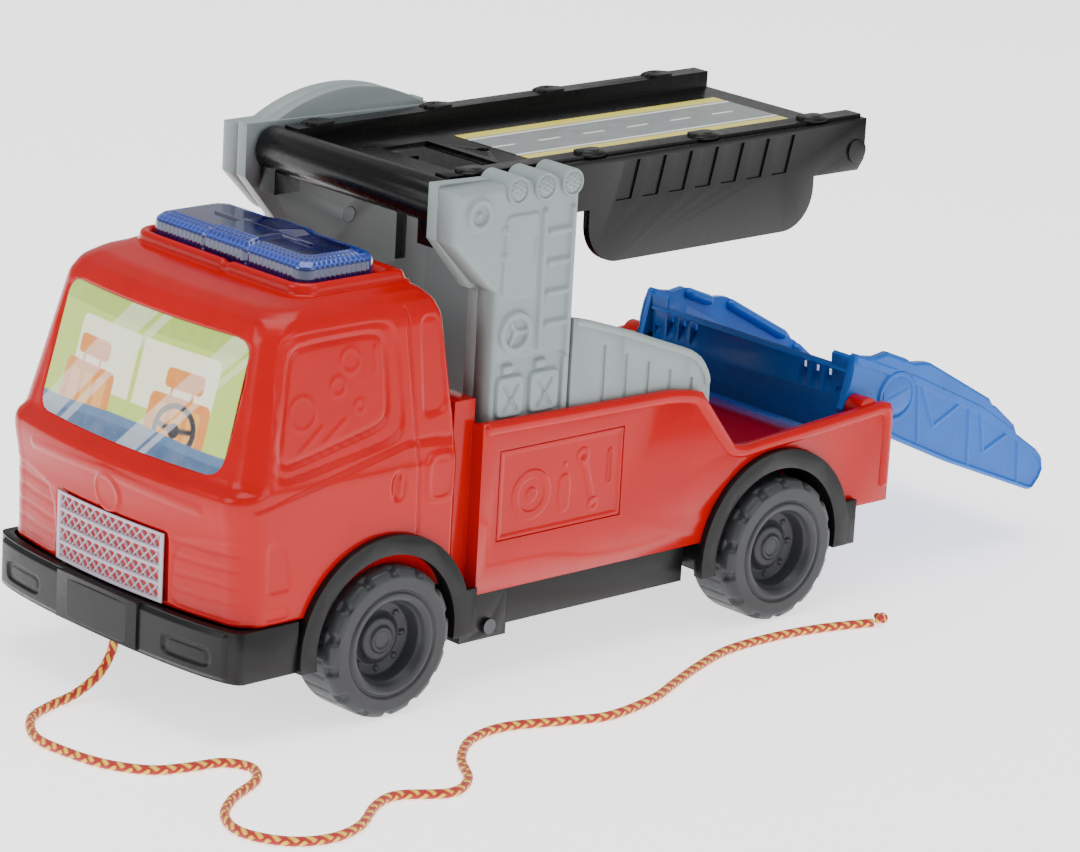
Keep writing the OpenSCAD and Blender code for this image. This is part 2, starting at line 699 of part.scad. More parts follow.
module tower_screws() color(STEEL) in_place() both_sides() for (p = tower_bolts) {
    cross_bar(p[0], p[1], head_d / 2, tower_in + 0.2, tower_in + 1.5);
    cross_bar(p[0], p[1], screw_d / 2, tower_in + 0.2, tower_out - 3);
}

module chassis_screws() color(STEEL) in_place() for (p = mirrored(concat(chassis_bosses, cab_bosses)))
    translate([p[0], p[1], underside_z - 1.2]) {
        cylinder(d = head_d, h = head_t);
        cylinder(d = screw_d, h = 14);
    }

side_screw_x = bed_front - 11.3;
side_screw_z = underside_z + 0.5;
module side_box_screws() color(STEEL) in_place() both_sides() {
    cross_bar(side_screw_x, side_screw_z, head_d / 2, sill_half, sill_half + 1.2);
    cross_bar(side_screw_x, side_screw_z, screw_d / 2, sill_half - 7, sill_half + 1.2);
}

// ---------------------------------------------------------------- wheels

// Half section of a wheel, from the hollow inner side (y = 0) to the dished outer face
module wheel_solid() {
    w = wheel_w;
    r = wheel_r;
    rotate([90, 0, 180]) difference() {
        rotate_extrude() polygon([
            [0, 2], [6, 2], [6, 4], [r * 0.56, 9], [r * 0.8, 7], [r * 0.8, 0], [r - 2, 0],
            [r - 0.6, 0.9], [r, 2.6], [r, w - 3.4], [r - 0.8, w - 1.4], [r - 2.6, w - 0.2],
            [r * 0.66, w], [r * 0.62, w - 0.8], [r * 0.5, w - 3], [r * 0.44, w - 9],
            [r * 0.36, w - 9.6], [r * 0.3, w - 7.4], [r * 0.17, w - 7], [r * 0.15, w - 6.4], [0, w - 6.4]]);
        for (k = [0:13]) rotate([0, 0, (k + 0.25) * 360 / 14])
            translate([r - 2.4, -1.8, w - 3.8]) cube([4, 3.6, 5]);
        translate([0, 0, -1]) cylinder(d = axle_d, h = w - 8);
    }
}

module wheel(x) color(TYRE) in_place() translate([x, wheel_face - wheel_w, wheel_r]) wheel_solid();

module front_wheel_left() wheel(front_x);
module front_wheel_right() mirror([0, 1, 0]) wheel(front_x);
module rear_wheel_left() wheel(0);
module rear_wheel_right() mirror([0, 1, 0]) wheel(0);

axle_half = wheel_face - 9;
module front_axle() color(STEEL) in_place() cross_bar(front_x, wheel_r, axle_d / 2, -axle_half, axle_half);
module rear_axle() color(STEEL) in_place() cross_bar(0, wheel_r, axle_d / 2, -axle_half, axle_half);

// ---------------------------------------------------------------- deck

window = [pivot_x - 49, pivot_x - 27];

module deck_tray() color(BLACK) in_place() difference() {
    union() {
        box([deck_back, pivot_x - 6], [-deck_half + 3.2, deck_half - 3.2], [deck_floor - deck_t, deck_floor]);
        both_sides() box([deck_back, pivot_x - 3], [deck_half - 3.2 - rail_w, deck_half - 3.2],
            [deck_floor - deck_t, rail_top]);
        // Front bar with a lug at each end
        cross_bar(pivot_x, pivot_z, bar_r, -deck_half + 0.4, deck_half - 0.4);
        both_sides() box([pivot_x - 6, pivot_x + 5.5], [deck_half - 9, deck_half - 0.6],
            [pivot_z - 15, pivot_z]);
        // Oval bumps on the rails
        both_sides() for (x = [15.7, 71.5, 127.3, 183])
            translate([pivot_x - x, deck_half - 7.4, rail_top - 1]) rail_bump();
    }
    both_sides() box([deck_back + 3, pivot_x - 12], [deck_half - 1.2 - rail_w, deck_half - 5.2],
        [deck_floor - deck_t - 1, rail_top - 2]);
    box(window, [-20, 20], [deck_floor - 5, deck_floor + 1]);
    translate([window[0] - 9, 0, deck_floor - 5]) cylinder(d = 5, h = 8);
    both_sides() cross_bar(pivot_x, pivot_z, pivot_d / 2 + 0.08, deck_half - 12, deck_half);
}

module rail_bump() {
    for (s = [-3, 3]) translate([s, 0, 0]) cylinder(r = 3, h = 2);
    translate([-3, -3, 0]) cube([6, 6, 2]);
}

// Side plate of the deck with a hanging flap, slanted ribs and a stub at its back end
module deck_skirt() difference() {
    union() {
        upright(deck_half - 3.1, deck_half) union() {
            polygon([[deck_back, rail_top - 1], [deck_back, pivot_z - 8], [deck_back + 3, pivot_z - 12],
                     [pivot_x - 8.5, pivot_z - 10], [pivot_x - 8.5, rail_top - 1]]);
            difference() {
                union() {
                    translate([pivot_x - 180, pivot_z - 16]) square([113, 10]);
                    translate([pivot_x - 165, pivot_z - 31]) square([83, 20]);
                    for (x = [165, 82]) translate([pivot_x - x, pivot_z - 16]) circle(r = 15);
                }
                translate([pivot_x - 200, pivot_z - 6]) square([200, 40]);
            }
        }
        cross_bar(deck_back + 4.7, pivot_z - 4.5, 4.5, deck_half - 0.5, deck_half + 0.9);
    }
    cross_bar(pivot_x, pivot_z, bar_r + 0.2, 0, half);
    for (k = [0:6]) translate([pivot_x - 87 - 13 * k, deck_half - 0.8, pivot_z - 8.6])
        multmatrix([[1, 0, -0.25, 0], [0, 1, 0, 0], [0, 0, 1, 0]]) cube([7.5, 2, 14]);
}

module deck_skirt_left() color(BLACK) in_place() deck_skirt();
module deck_skirt_right() color(BLACK) in_place() mirror([0, 1, 0]) deck_skirt();

module deck_label() color("#e6d84a") in_place()
    box([deck_back + 12, window[0] - 14], [-21, 21], [deck_floor, deck_floor + 0.3]);

module deck_pivot_pins() color(STEEL) in_place() both_sides()
    cross_bar(pivot_x, pivot_z, pivot_d / 2, deck_half - 11.5, tower_out - 2.1);

// ---------------------------------------------------------------- ramp

// The ramp lies along u, down its slope from the hinge, with w square to its floor
module on_ramp() {
    translate([hinge_x, 0, hinge_z]) rotate([0, -ramp_slope, 0]) mirror([1, 0, 0]) children();
}

module ramp_wall_profile() {
    l = ramp_len;
    polygon([[-5, -3], [-4.8, 0.6], [-8.4, 17], [-7.4, 18.4], [-3, 18.8], [3, 20.4], [8, 23.6],
             [24.9, 24.6], [30, 26.4], [33, 27.2], [l - 46, 24.4], [l - 43, 22.8], [l - 40, 22.6],
             [l - 26, 19], [l - 23, 16.4],
             [l - 8.2, 14.1], [l - 4, 12.6], [l, ramp_tip_w], [l - 2.7, -1.2], [l - 5, -2],
             [l - 55, -4.9], [32, -5.3], [14, -4.6], [6, -5.4], [-1, -5.6]]);
}

module ramp_body() color(BLUE) in_place() difference() {
    on_ramp() difference() {
        union() {
            both_sides() upright(ramp_half - 3, ramp_half) ramp_wall_profile();
            // Floor with a rounded tip, and the front face below it
            box([-6, ramp_len - 5], [-ramp_half + 1, ramp_half - 1], [ramp_floor - 2.4, ramp_floor]);
            upright(-ramp_half + 1, ramp_half - 1) polygon([[-6.2, ramp_floor], [-3.2, ramp_floor],
                [8.6, -11.5], [5.4, -12.2]]);
            upright(-ramp_half + 1, ramp_half - 1) polygon([[ramp_len - 5.5, ramp_floor],
                [ramp_len - 5.5, ramp_floor - 2.4], [ramp_len - 2.4, 7.2], [ramp_len - 0.4, ramp_tip_w]]);
            // Thick blocks at the front of the side walls
            both_sides() upright(ramp_half - 12, ramp_half - 2) polygon([[-8.2, 16], [-7.4, 17.4],
                [3, 17.4], [5, ramp_floor - 1], [-6.1, ramp_floor - 1]]);
            both_sides() cross_bar(21.2, 11.4, 8, ramp_half - 1, ramp_half + 0.8);
        }
        both_sides() cross_bar(0, 0, hinge_d / 2 + 0.08, ramp_half - 4, ramp_half + 1);
    }
    // Louvres in the front face
    both_sides() on_ramp() for (k = [0:3]) translate([-9, ramp_half - 9 - 6.6 * k, -3])
        cube([8, 3.8, k == 0 ? 8 : 14]);
}

module ramp_hinge_pins() color(STEEL) in_place() both_sides()
    cross_bar(hinge_x, hinge_z, hinge_d / 2, ramp_half - 2.8, half - 1.2);

// ---------------------------------------------------------------- pull cord

function mix3(a, b, t) = a + (b - a) * t;

// Catmull-Rom curve through the route's points
function curve(p, i, t) = let (
    n = len(p) - 1, a = p[max(i - 1, 0)], b = p[i], c = p[min(i + 1, n)], d = p[min(i + 2, n)])
    0.5 * (2 * b + (c - a) * t + (2 * a - 5 * b + 4 * c - d) * t * t + (3 * b - 3 * c + d - a) * t * t * t);

function curve_at(p, s) = let (i = min(floor(s), len(p) - 2)) curve(p, i, s - i);
function unit(v) = v / norm(v);

fine = [for (k = [0:(len(cord_route) - 1) * 10]) let (q = curve_at(cord_route, k / 10))
    [q[0], q[1], max(q[2], cord_lie)]];
function lengths(p, i = 0, total = 0) = i == len(p) - 1 ? [total]
    : concat([total], lengths(p, i + 1, total + norm(p[i + 1] - p[i])));
fine_lengths = lengths(fine);
cord_length = fine_lengths[len(fine) - 1];
cord_centres = [for (k = [0:cord_rings]) let (s = k / cord_rings * cord_length,
    i = min(len([for (d = fine_lengths) if (d <= s) 1]) - 1, len(fine) - 2),
    t = (s - fine_lengths[i]) / (fine_lengths[i + 1] - fine_lengths[i])) mix3(fine[i], fine[i + 1], t)];

module pull_cord() color("#d8402c") {
    n = cord_rings;
    side0 = [0, 1, 0];
    points = [for (k = [0:n]) let (
        d = unit(cord_centres[min(k + 1, n)] - cord_centres[max(k - 1, 0)]),
        a = unit(abs(d[2]) > 0.7 ? cross(d, side0) : cross(d, [0, 0, 1])),
        b = cross(a, d))
        each [for (j = [0:cord_sides - 1])
            cord_centres[k] + cord_r * (cos(j * 360 / cord_sides) * a + sin(j * 360 / cord_sides) * b)]];
    faces = concat(
        [[for (j = [0:cord_sides - 1]) j]],
        [for (k = [0:n - 1], j = [0:cord_sides - 1]) let (q = (j + 1) % cord_sides, m = k * cord_sides)
            [m + j, m + cord_sides + j, m + cord_sides + q, m + q]],
        [[for (j = [cord_sides - 1:-1:0]) n * cord_sides + j]]);
    polyhedron(points, faces, convexity = 6);
}

module cord_anchor_knot() color("#d8402c") in_place()
    translate([cord_hole_x, cord_hole_y, bumper_bottom + floor_t]) intersection() {
        translate([0, 0, 2.7]) sphere(r = 3.1);
        cylinder(r = 4, h = 8);
    }

module cord_end_knot() color("#d8402c") {
    last = cord_route[len(cord_route) - 1];
    before = cord_centres[cord_rings - 1];
    d = unit(last - before);
    translate(last + d * 3.25 + [0, 0, 3.25 - last[2]]) sphere(r = 3.2);
}

chassis_tub();
front_bumper();
cab_shell();
windscreen_label();
grille_insert();
bed_tub();
tower_left_outer();
tower_left_inner();
tower_right_outer();
tower_right_inner();
side_panel_left();
side_panel_right();
front_fender_left();
front_fender_right();
rear_fender_left();
rear_fender_right();
tower_screws();
chassis_screws();
side_box_screws();
battery_box();
batteries();
battery_contacts();
battery_door();
battery_door_screw();
speaker();
circuit_board();
board_screws();
led_lamps();
switch_dome();
slide_switch_body();
slide_switch_knob();
light_bar_lens();
front_axle();
front_wheel_left();
front_wheel_right();
rear_axle();
rear_wheel_left();
rear_wheel_right();
deck_tray();
deck_skirt_left();
deck_skirt_right();
deck_label();
deck_pivot_pins();
ramp_body();
ramp_hinge_pins();
pull_cord();
cord_anchor_knot();
cord_end_knot();
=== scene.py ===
# %% [markdown]
# # Toy car-carrier truck
# A pull-along toy truck in glossy red plastic: a tilting black deck on two grey towers,
# a blue loading ramp, a blue light bar and a braided pull cord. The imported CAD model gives
# every place and size. This script adds the finishes, and the surfaces that are too soft or
# too finely embossed for CAD, each worked out with numpy as a grid of points.

# %% Load the frame
import math

import bmesh
import bpy
import numpy as np
from mathutils import Matrix, Vector


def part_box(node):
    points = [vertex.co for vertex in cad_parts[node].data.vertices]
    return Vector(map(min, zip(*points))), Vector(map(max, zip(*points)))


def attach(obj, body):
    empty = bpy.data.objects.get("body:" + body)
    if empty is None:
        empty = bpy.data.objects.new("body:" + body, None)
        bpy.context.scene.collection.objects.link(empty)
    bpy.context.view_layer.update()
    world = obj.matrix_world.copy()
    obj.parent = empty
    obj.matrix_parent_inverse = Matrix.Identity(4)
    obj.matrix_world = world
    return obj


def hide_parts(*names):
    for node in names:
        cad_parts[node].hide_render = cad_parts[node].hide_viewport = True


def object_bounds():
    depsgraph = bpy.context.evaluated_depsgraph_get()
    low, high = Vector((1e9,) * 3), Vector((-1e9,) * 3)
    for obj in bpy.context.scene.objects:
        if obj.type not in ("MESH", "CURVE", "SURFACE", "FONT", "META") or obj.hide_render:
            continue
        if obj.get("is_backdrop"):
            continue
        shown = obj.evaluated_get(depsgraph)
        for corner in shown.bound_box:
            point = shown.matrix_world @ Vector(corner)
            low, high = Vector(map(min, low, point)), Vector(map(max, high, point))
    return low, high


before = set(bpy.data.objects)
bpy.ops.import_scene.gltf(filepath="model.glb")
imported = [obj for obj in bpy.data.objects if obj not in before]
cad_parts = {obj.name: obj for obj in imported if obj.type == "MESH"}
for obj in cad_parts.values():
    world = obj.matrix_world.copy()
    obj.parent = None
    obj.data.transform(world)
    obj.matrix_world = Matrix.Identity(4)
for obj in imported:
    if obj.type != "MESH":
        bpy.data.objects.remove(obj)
cad_lo, cad_hi = (list(corner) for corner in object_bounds())
MM = 0.001
SIDES = (("left", 1), ("right", -1))


def box_mm(node):
    """Lowest and highest corner of a CAD node, in millimetres."""
    low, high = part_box(node)
    return np.array(low) / MM, np.array(high) / MM


print("CAD box in mm:", np.round(np.array(cad_hi) / MM - np.array(cad_lo) / MM, 1))

# %% [markdown]
# ## The camera
# The truck is seen from its front left corner, a little above the roof, through a long lens
# that is rolled slightly. The camera's own axes are built from two angles, an azimuth and a
# height above the horizon, and then turned about the line of sight.

# %% Camera
AIM = np.array([-16.75, 0, 60]) * MM
DISTANCE = 1767.25 * MM
azimuth, height, roll = np.radians([46.39, 16.46, 3.39])
back = np.array([np.cos(height) * np.cos(azimuth), np.cos(height) * np.sin(azimuth), np.sin(height)])
right = np.array([-np.sin(azimuth), np.cos(azimuth), 0])
above = np.cross(back, right)
camera_x = np.cos(roll) * right + np.sin(roll) * above
camera_y = -np.sin(roll) * right + np.cos(roll) * above

camera = bpy.data.objects.new("camera", bpy.data.cameras.new("camera"))
bpy.context.scene.collection.objects.link(camera)
turn = Matrix(np.column_stack([camera_x, camera_y, back]).tolist()).to_4x4()
camera.matrix_world = Matrix.Translation(AIM + DISTANCE * back) @ turn
camera.data.lens = 157.67
camera.data.sensor_width = 36
camera.data.shift_x, camera.data.shift_y = -0.0437, 0.0049
camera.data.clip_end = 20
bpy.context.scene.camera = camera
print("camera at", np.round(camera.location, 3))

# %% [markdown]
# ## Helpers for surfaces
# Most new pieces are a grid of points: one direction runs along the piece and the other
# round it. The faces of such a grid follow from counting, so one helper makes them all.


# %% Grid faces and pieces
def grid_faces(rows, columns, close_rows=False, close_columns=False):
    """Quads between neighbours of a grid whose point (i, j) has the number i * columns + j."""
    i = np.arange(rows if close_rows else rows - 1)
    j = np.arange(columns if close_columns else columns - 1)
    i, j = np.meshgrid(i, j, indexing="ij")
    k, m = (i + 1) % rows, (j + 1) % columns
    corners = [i * columns + j, k * columns + j, k * columns + m, i * columns + m]
    return np.stack(corners, axis=-1).reshape(-1, 4)


def piece(name, points, faces, body, finish, smooth=True):
    """An object at the origin from points in millimetres, riding on a body."""
    mesh = bpy.data.meshes.new(name)
    mesh.from_pydata((np.asarray(points).reshape(-1, 3) * MM).tolist(), [], [list(f) for f in faces])
    made = bmesh.new()
    made.from_mesh(mesh)
    bmesh.ops.remove_doubles(made, verts=made.verts, dist=1e-7)
    bmesh.ops.recalc_face_normals(made, faces=made.faces)
    if made.calc_volume(signed=True) < 0:
        bmesh.ops.reverse_faces(made, faces=made.faces)
    made.to_mesh(mesh)
    made.free()
    mesh.polygons.foreach_set("use_smooth", [smooth] * len(mesh.polygons))
    mesh.materials.append(finish)
    made_object = bpy.data.objects.new(name, mesh)
    bpy.context.scene.collection.objects.link(made_object)
    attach(made_object, body)
    print(name, len(mesh.vertices), "points")
    return made_object


def eased_line(points, step, reach):
    """A polyline with its corners rounded: even steps along it, then a running mean over `reach`."""
    points = np.asarray(points, float)
    along = np.concatenate([[0], np.cumsum(np.linalg.norm(np.diff(points, axis=0), axis=1))])
    even = np.linspace(0, along[-1], max(3, int(round(along[-1] / step)) + 1))
    line = np.stack([np.interp(even, along, points[:, k]) for k in range(points.shape[1])], axis=1)
    count = max(1, int(reach / step / 2)) * 2 + 1
    wide = np.pad(line, ((count // 2, count // 2), (0, 0)), mode="edge")
    eased = np.stack([np.convolve(wide[:, k], np.ones(count) / count, "valid")
                      for k in range(points.shape[1])], axis=1)
    eased[0], eased[-1] = line[0], line[-1]
    return eased


def ramp_up(value, low, high):
    """0 below low, 1 above high, and the smooth cubic between."""
    t = np.clip((value - low) / (high - low), 0, 1)
    return t * t * (3 - 2 * t)


def inside(p, q, corners, ease=0.8, rounding=1.5):
    """1 inside a convex outline and 0 outside: the least distance to its edges, rounded at corners."""
    corners = np.array(corners, float)
    ends = np.roll(corners, -1, axis=0)
    side = ends - corners
    area = np.sum(corners[:, 0] * ends[:, 1] - ends[:, 0] * corners[:, 1])
    normal = np.stack([-side[:, 1], side[:, 0]], axis=1) * np.sign(area)
    normal /= np.linalg.norm(normal, axis=1)[:, None]
    depth = [(p - c[0]) * n[0] + (q - c[1]) * n[1] for c, n in zip(corners, normal)]
    depth = -rounding * np.log(sum(np.exp(-np.clip(d / rounding, -40, 40)) for d in depth))
    return ramp_up(depth, 0, ease)


def block(p, q, p0, p1, q0, q1, ease=0.8, rounding=0.8):
    """1 inside an upright rectangle with rounded corners."""
    return inside(p, q, [(p0, q0), (p1, q0), (p1, q1), (p0, q1)], ease, rounding)


def disc(p, q, at, radius, ease=0.8):
    """1 inside a circle."""
    return ramp_up(radius - np.hypot(p - at[0], q - at[1]), 0, ease)


def groove(p, q, start, end, width):
    """1 on a straight line from start to end, fading over its width."""
    start, end = np.array(start, float), np.array(end, float)
    along = end - start
    t = np.clip(((p - start[0]) * along[0] + (q - start[1]) * along[1]) / (along @ along), 0, 1)
    away = np.hypot(p - start[0] - t * along[0], q - start[1] - t * along[1])
    return 1 - ramp_up(away, width * 0.25, width)


# %% [markdown]
# ## Finishes
# Most parts are injection-moulded plastic, and real mouldings are never one flat colour: the
# pigment varies a little, the surface ripples and fine scratches break the gloss. One helper
# builds such a finish from noise at three sizes, all read from the piece's own coordinates.


# %% Moulded plastic
def linear(red, green, blue):
    """A colour from 0-255 screen values as linear light."""
    c = np.array([red, green, blue]) / 255
    return (*np.where(c <= 0.04045, c / 12.92, ((c + 0.055) / 1.055) ** 2.4), 1)


class Nodes:
    """A material's nodes, with short calls for the ones used here."""

    def __init__(self, name):
        self.material = bpy.data.materials.new(name)
        self.material.use_nodes = True
        self.tree = self.material.node_tree
        self.shader = self.tree.nodes["Principled BSDF"]
        self.place = self.add("ShaderNodeTexCoord").outputs["Object"]

    def add(self, kind, **values):
        node = self.tree.nodes.new(kind)
        for key, value in values.items():
            setattr(node, key, value)
        return node

    def link(self, output, target):
        self.tree.links.new(output, target)

    def noise(self, size_mm, detail=3):
        node = self.add("ShaderNodeTexNoise")
        node.inputs["Scale"].default_value = 1 / (size_mm * MM)
        node.inputs["Detail"].default_value = detail
        self.link(self.place, node.inputs["Vector"])
        return node.outputs["Fac"]

    def spread(self, value, low, high):
        """Noise from 0.3-0.7 stretched to low-high."""
        node = self.add("ShaderNodeMapRange")
        for key, number in (("From Min", 0.3), ("From Max", 0.7), ("To Min", low), ("To Max", high)):
            node.inputs[key].default_value = number
        self.link(value, node.inputs["Value"])
        return node.outputs["Result"]

    def blend(self, value, first, second):
        """First colour where value is 0 and second where it is 1; either may be a socket."""
        node = self.add("ShaderNodeMix", data_type="RGBA")
        self.link(value, node.inputs["Factor"])
        for socket, colour in ((node.inputs[6], first), (node.inputs[7], second)):
            if isinstance(colour, bpy.types.NodeSocket):
                self.link(colour, socket)
            else:
                socket.default_value = colour
        return node.outputs[2]

    def bump(self, height, strength, depth_mm):
        node = self.add("ShaderNodeBump")
        node.inputs["Strength"].default_value = strength
        node.inputs["Distance"].default_value = depth_mm * MM
        self.link(height, node.inputs["Height"])
        self.link(node.outputs["Normal"], self.shader.inputs["Normal"])


def moulded(name, colour, shade=0.86, rough=(0.2, 0.32), ripple=0.02, grain_mm=0.5, gloss=0.5, **sockets):
    """Moulded plastic: colour drifting to a shade of itself, uneven gloss and a fine ripple."""
    n = Nodes(name)
    pale = linear(*colour)
    deep = (*(shade * np.array(pale[:3])), 1)
    n.link(n.blend(n.spread(n.noise(18), 0, 1), deep, pale), n.shader.inputs["Base Color"])
    n.link(n.spread(n.noise(3, 5), *rough), n.shader.inputs["Roughness"])
    n.bump(n.noise(grain_mm, 2), 0.5, ripple)
    n.shader.inputs["Specular IOR Level"].default_value = gloss
    for key, value in sockets.items():
        n.shader.inputs[key.replace("_", " ")].default_value = value
    return n.material


red = moulded("glossy_red", (182, 0, 2), 0.9, rough=(0.16, 0.24), ripple=0.012, grain_mm=2.5, gloss=0.22,
              Coat_Weight=0.08, Coat_Roughness=0.08)
black = moulded("satin_black", (17, 17, 18), rough=(0.28, 0.4), ripple=0.02, gloss=0.25)
deck_black = moulded("deck_black", (9, 9, 10), rough=(0.22, 0.32), ripple=0.012, grain_mm=1.5, gloss=0.22)
grey = moulded("tower_grey", (140, 151, 151), shade=0.93, rough=(0.32, 0.44), ripple=0.015, gloss=0.3)
blue = moulded("ramp_blue", (12, 96, 190), rough=(0.26, 0.36), ripple=0.012, grain_mm=1.5, gloss=0.28)
tyre = moulded("wheel_grey", (52, 54, 57), rough=(0.34, 0.46), ripple=0.02, gloss=0.3)
steel = moulded("bright_steel", (150, 152, 156), rough=(0.22, 0.36), ripple=0.01, Metallic=1.0)
dull_steel = moulded("dull_steel", (84, 86, 90), rough=(0.3, 0.42), ripple=0.01, Metallic=0.9)
inner = moulded("inner_plastic", (44, 44, 48), rough=(0.4, 0.55), ripple=0.03)
white = moulded("white_plastic", (232, 232, 226), shade=0.95, rough=(0.3, 0.4))
rubber = moulded("milky_silicone", (214, 214, 204), shade=0.95, rough=(0.45, 0.6))
board_green = moulded("circuit_green", (38, 110, 58), rough=(0.3, 0.4), grain_mm=1.5)
cell_wrap = moulded("battery_wrap", (150, 120, 40), rough=(0.25, 0.35))
print("plain finishes ready")

# %% [markdown]
# ## CAD parts with eased edges
# A moulded part has no knife edges: each corner carries a small radius that catches the
# light. The CAD solids are merged into clean copies and a Bevel modifier rounds every edge
# that is sharper than the facets of the curved faces.


# %% Eased copies of CAD nodes
def eased(node, radius_mm, finish, body, segments=2, keep_deg=32):
    """A merged copy of a CAD node whose sharp edges are rounded, standing for that node."""
    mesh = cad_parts[node].data.copy()
    made = bmesh.new()
    made.from_mesh(mesh)
    bmesh.ops.remove_doubles(made, verts=made.verts, dist=2e-6)
    bmesh.ops.dissolve_limit(made, angle_limit=math.radians(0.6), verts=made.verts, edges=made.edges)
    made.to_mesh(mesh)
    made.free()
    mesh.materials.clear()
    mesh.materials.append(finish)
    copy = bpy.data.objects.new("eased_" + node, mesh)
    bpy.context.scene.collection.objects.link(copy)
    bevel = copy.modifiers.new("edges", "BEVEL")
    bevel.width, bevel.segments = radius_mm * MM, segments
    bevel.limit_method, bevel.angle_limit = "ANGLE", math.radians(keep_deg)
    bevel.harden_normals = True
    mesh.polygons.foreach_set("use_smooth", [True] * len(mesh.polygons))
    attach(copy, body)
    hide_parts(node)
    return copy


eased_parts = [
    ("chassis_tub", 0.5, black, "truck"), ("front_bumper", 1.0, black, "truck"),
    ("front_fender_left", 0.8, black, "truck"), ("front_fender_right", 0.8, black, "truck"),
    ("rear_fender_left", 0.8, black, "truck"), ("rear_fender_right", 0.8, black, "truck"),
    ("bed_tub", 0.8, red, "truck"),
    ("side_panel_left", 0.5, grey, "truck"), ("side_panel_right", 0.5, grey, "truck"),
    ("tower_left_inner", 0.5, grey, "truck"), ("tower_right_inner", 0.5, grey, "truck"),
    ("deck_tray", 0.6, deck_black, "deck"),
    ("deck_skirt_left", 0.5, deck_black, "deck"), ("deck_skirt_right", 0.5, deck_black, "deck"),
    ("ramp_body", 0.6, blue, "ramp"),
]
for node, radius, finish, body in eased_parts:
    eased(node, radius, finish, body)
print(len(eased_parts), "parts eased")

# %% Finishes on the CAD nodes that stay
kept_finishes = {
    "tower_screws": dull_steel, "chassis_screws": dull_steel, "side_box_screws": dull_steel,
    "battery_box": inner, "batteries": cell_wrap, "battery_contacts": steel,
    "battery_door": black, "battery_door_screw": steel, "speaker": inner,
    "circuit_board": board_green, "board_screws": steel, "led_lamps": white,
    "switch_dome": rubber, "slide_switch_body": inner, "slide_switch_knob": white,
    "front_axle": steel, "rear_axle": steel, "deck_pivot_pins": steel, "ramp_hinge_pins": steel,
}
for node, finish in kept_finishes.items():
    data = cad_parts[node].data
    data.materials.clear()
    data.materials.append(finish)
print(len(kept_finishes), "nodes keep their shape")

# %% [markdown]
# ## The pull cord
# A thin braided cord, red with yellow flecks, hangs out of a hole in the bumper and lies in
# loose curves to a plain knot. Its route is a smooth curve through chosen points. The braid
# is modelled on the tube itself: two sets of strands wind in opposite directions and cross.

# %% Cord route
CORD_R = 1.7
route = np.array([
    [202.65, 0, 25.15], [202.65, 0, 19], [205, 0, 13], [210, 0, 7.5],
    [219, 0, 3], [231, 2, 1.7], [244, 9, 1.7], [253, 24, 1.7], [253, 40, 1.7], [249, 57, 1.7],
    [240, 70, 1.7], [228, 75, 1.7], [216, 78, 1.7], [211, 87, 1.7], [217, 97, 1.7], [234, 106, 1.7],
    [246, 117, 1.7], [250, 131, 1.7], [243, 145, 1.7], [230, 151, 1.7], [215, 148, 1.7],
    [199, 137, 1.7], [187, 134, 1.7], [171, 142, 1.7], [158, 136, 1.7], [147, 120, 1.7],
    [132, 108, 1.7], [114, 105, 1.7], [93, 112, 1.7], [76, 117, 1.7], [52, 113, 1.7],
    [33, 105, 1.7], [14, 97, 1.7], [-8, 90, 1.7], [-33, 89, 1.7], [-55, 92, 1.7], [-75, 98, 1.7]])


def smooth_route(p, per_step=24):
    """Catmull-Rom curve: a cubic for each stretch, which leaves a point along its neighbours' line."""
    q = np.vstack([p[:1], p, p[-1:]])
    t = np.linspace(0, 1, per_step, endpoint=False)[:, None, None]
    a, b, c, d = q[:-3], q[1:-2], q[2:-1], q[3:]
    curve = 0.5 * (2 * b + (c - a) * t + (2 * a - 5 * b + 4 * c - d) * t**2 + (3 * b - 3 * c + d - a) * t**3)
    return np.vstack([curve.transpose(1, 0, 2).reshape(-1, 3), p[-1:]])


fine = smooth_route(route)
fine[:, 2] = np.maximum(fine[:, 2], CORD_R + 0.02)
walk = np.concatenate([[0], np.cumsum(np.linalg.norm(np.diff(fine, axis=0), axis=1))])
cord_length = walk[-1]
steps = np.linspace(0, cord_length, int(cord_length / 0.5))
line = np.stack([np.interp(steps, walk, fine[:, k]) for k in range(3)], axis=1)
print("cord length", round(cord_length, 1), "mm")

# %% Cord tube with its braid
STRANDS, LAY = 6, 11.0
ahead = np.gradient(line, axis=0)
ahead /= np.linalg.norm(ahead, axis=1)[:, None]
heading = np.where((steps < 24)[:, None], [1.0, 0], ahead[:, :2])
heading /= np.linalg.norm(heading, axis=1)[:, None]
across = np.stack([heading[:, 1], -heading[:, 0], 0 * steps], axis=1)
upward = np.cross(across, ahead)
around = np.linspace(0, 2 * np.pi, 24, endpoint=False)
s, a = steps[:, None], around[None, :]
over = STRANDS / 2 * (a + 2 * np.pi * s / LAY)
under = STRANDS / 2 * (a - 2 * np.pi * s / LAY)
relief = np.abs(np.sin(over)) * np.abs(np.sin(under))
radius = CORD_R * (0.93 + 0.07 * np.sqrt(relief))
tube = (line[:, None] + radius[..., None] * (np.cos(a)[..., None] * across[:, None]
                                             + np.sin(a)[..., None] * upward[:, None]))
weave_right = np.floor(over / np.pi).astype(int) % STRANDS
weave_left = np.floor(under / np.pi).astype(int) % STRANDS
yellow = (((weave_right + weave_left) % 2 == 0) & (weave_right % 3 == 0)
          | ((weave_right + weave_left) % 2 == 1) & (weave_left % 3 == 1)).astype(float)

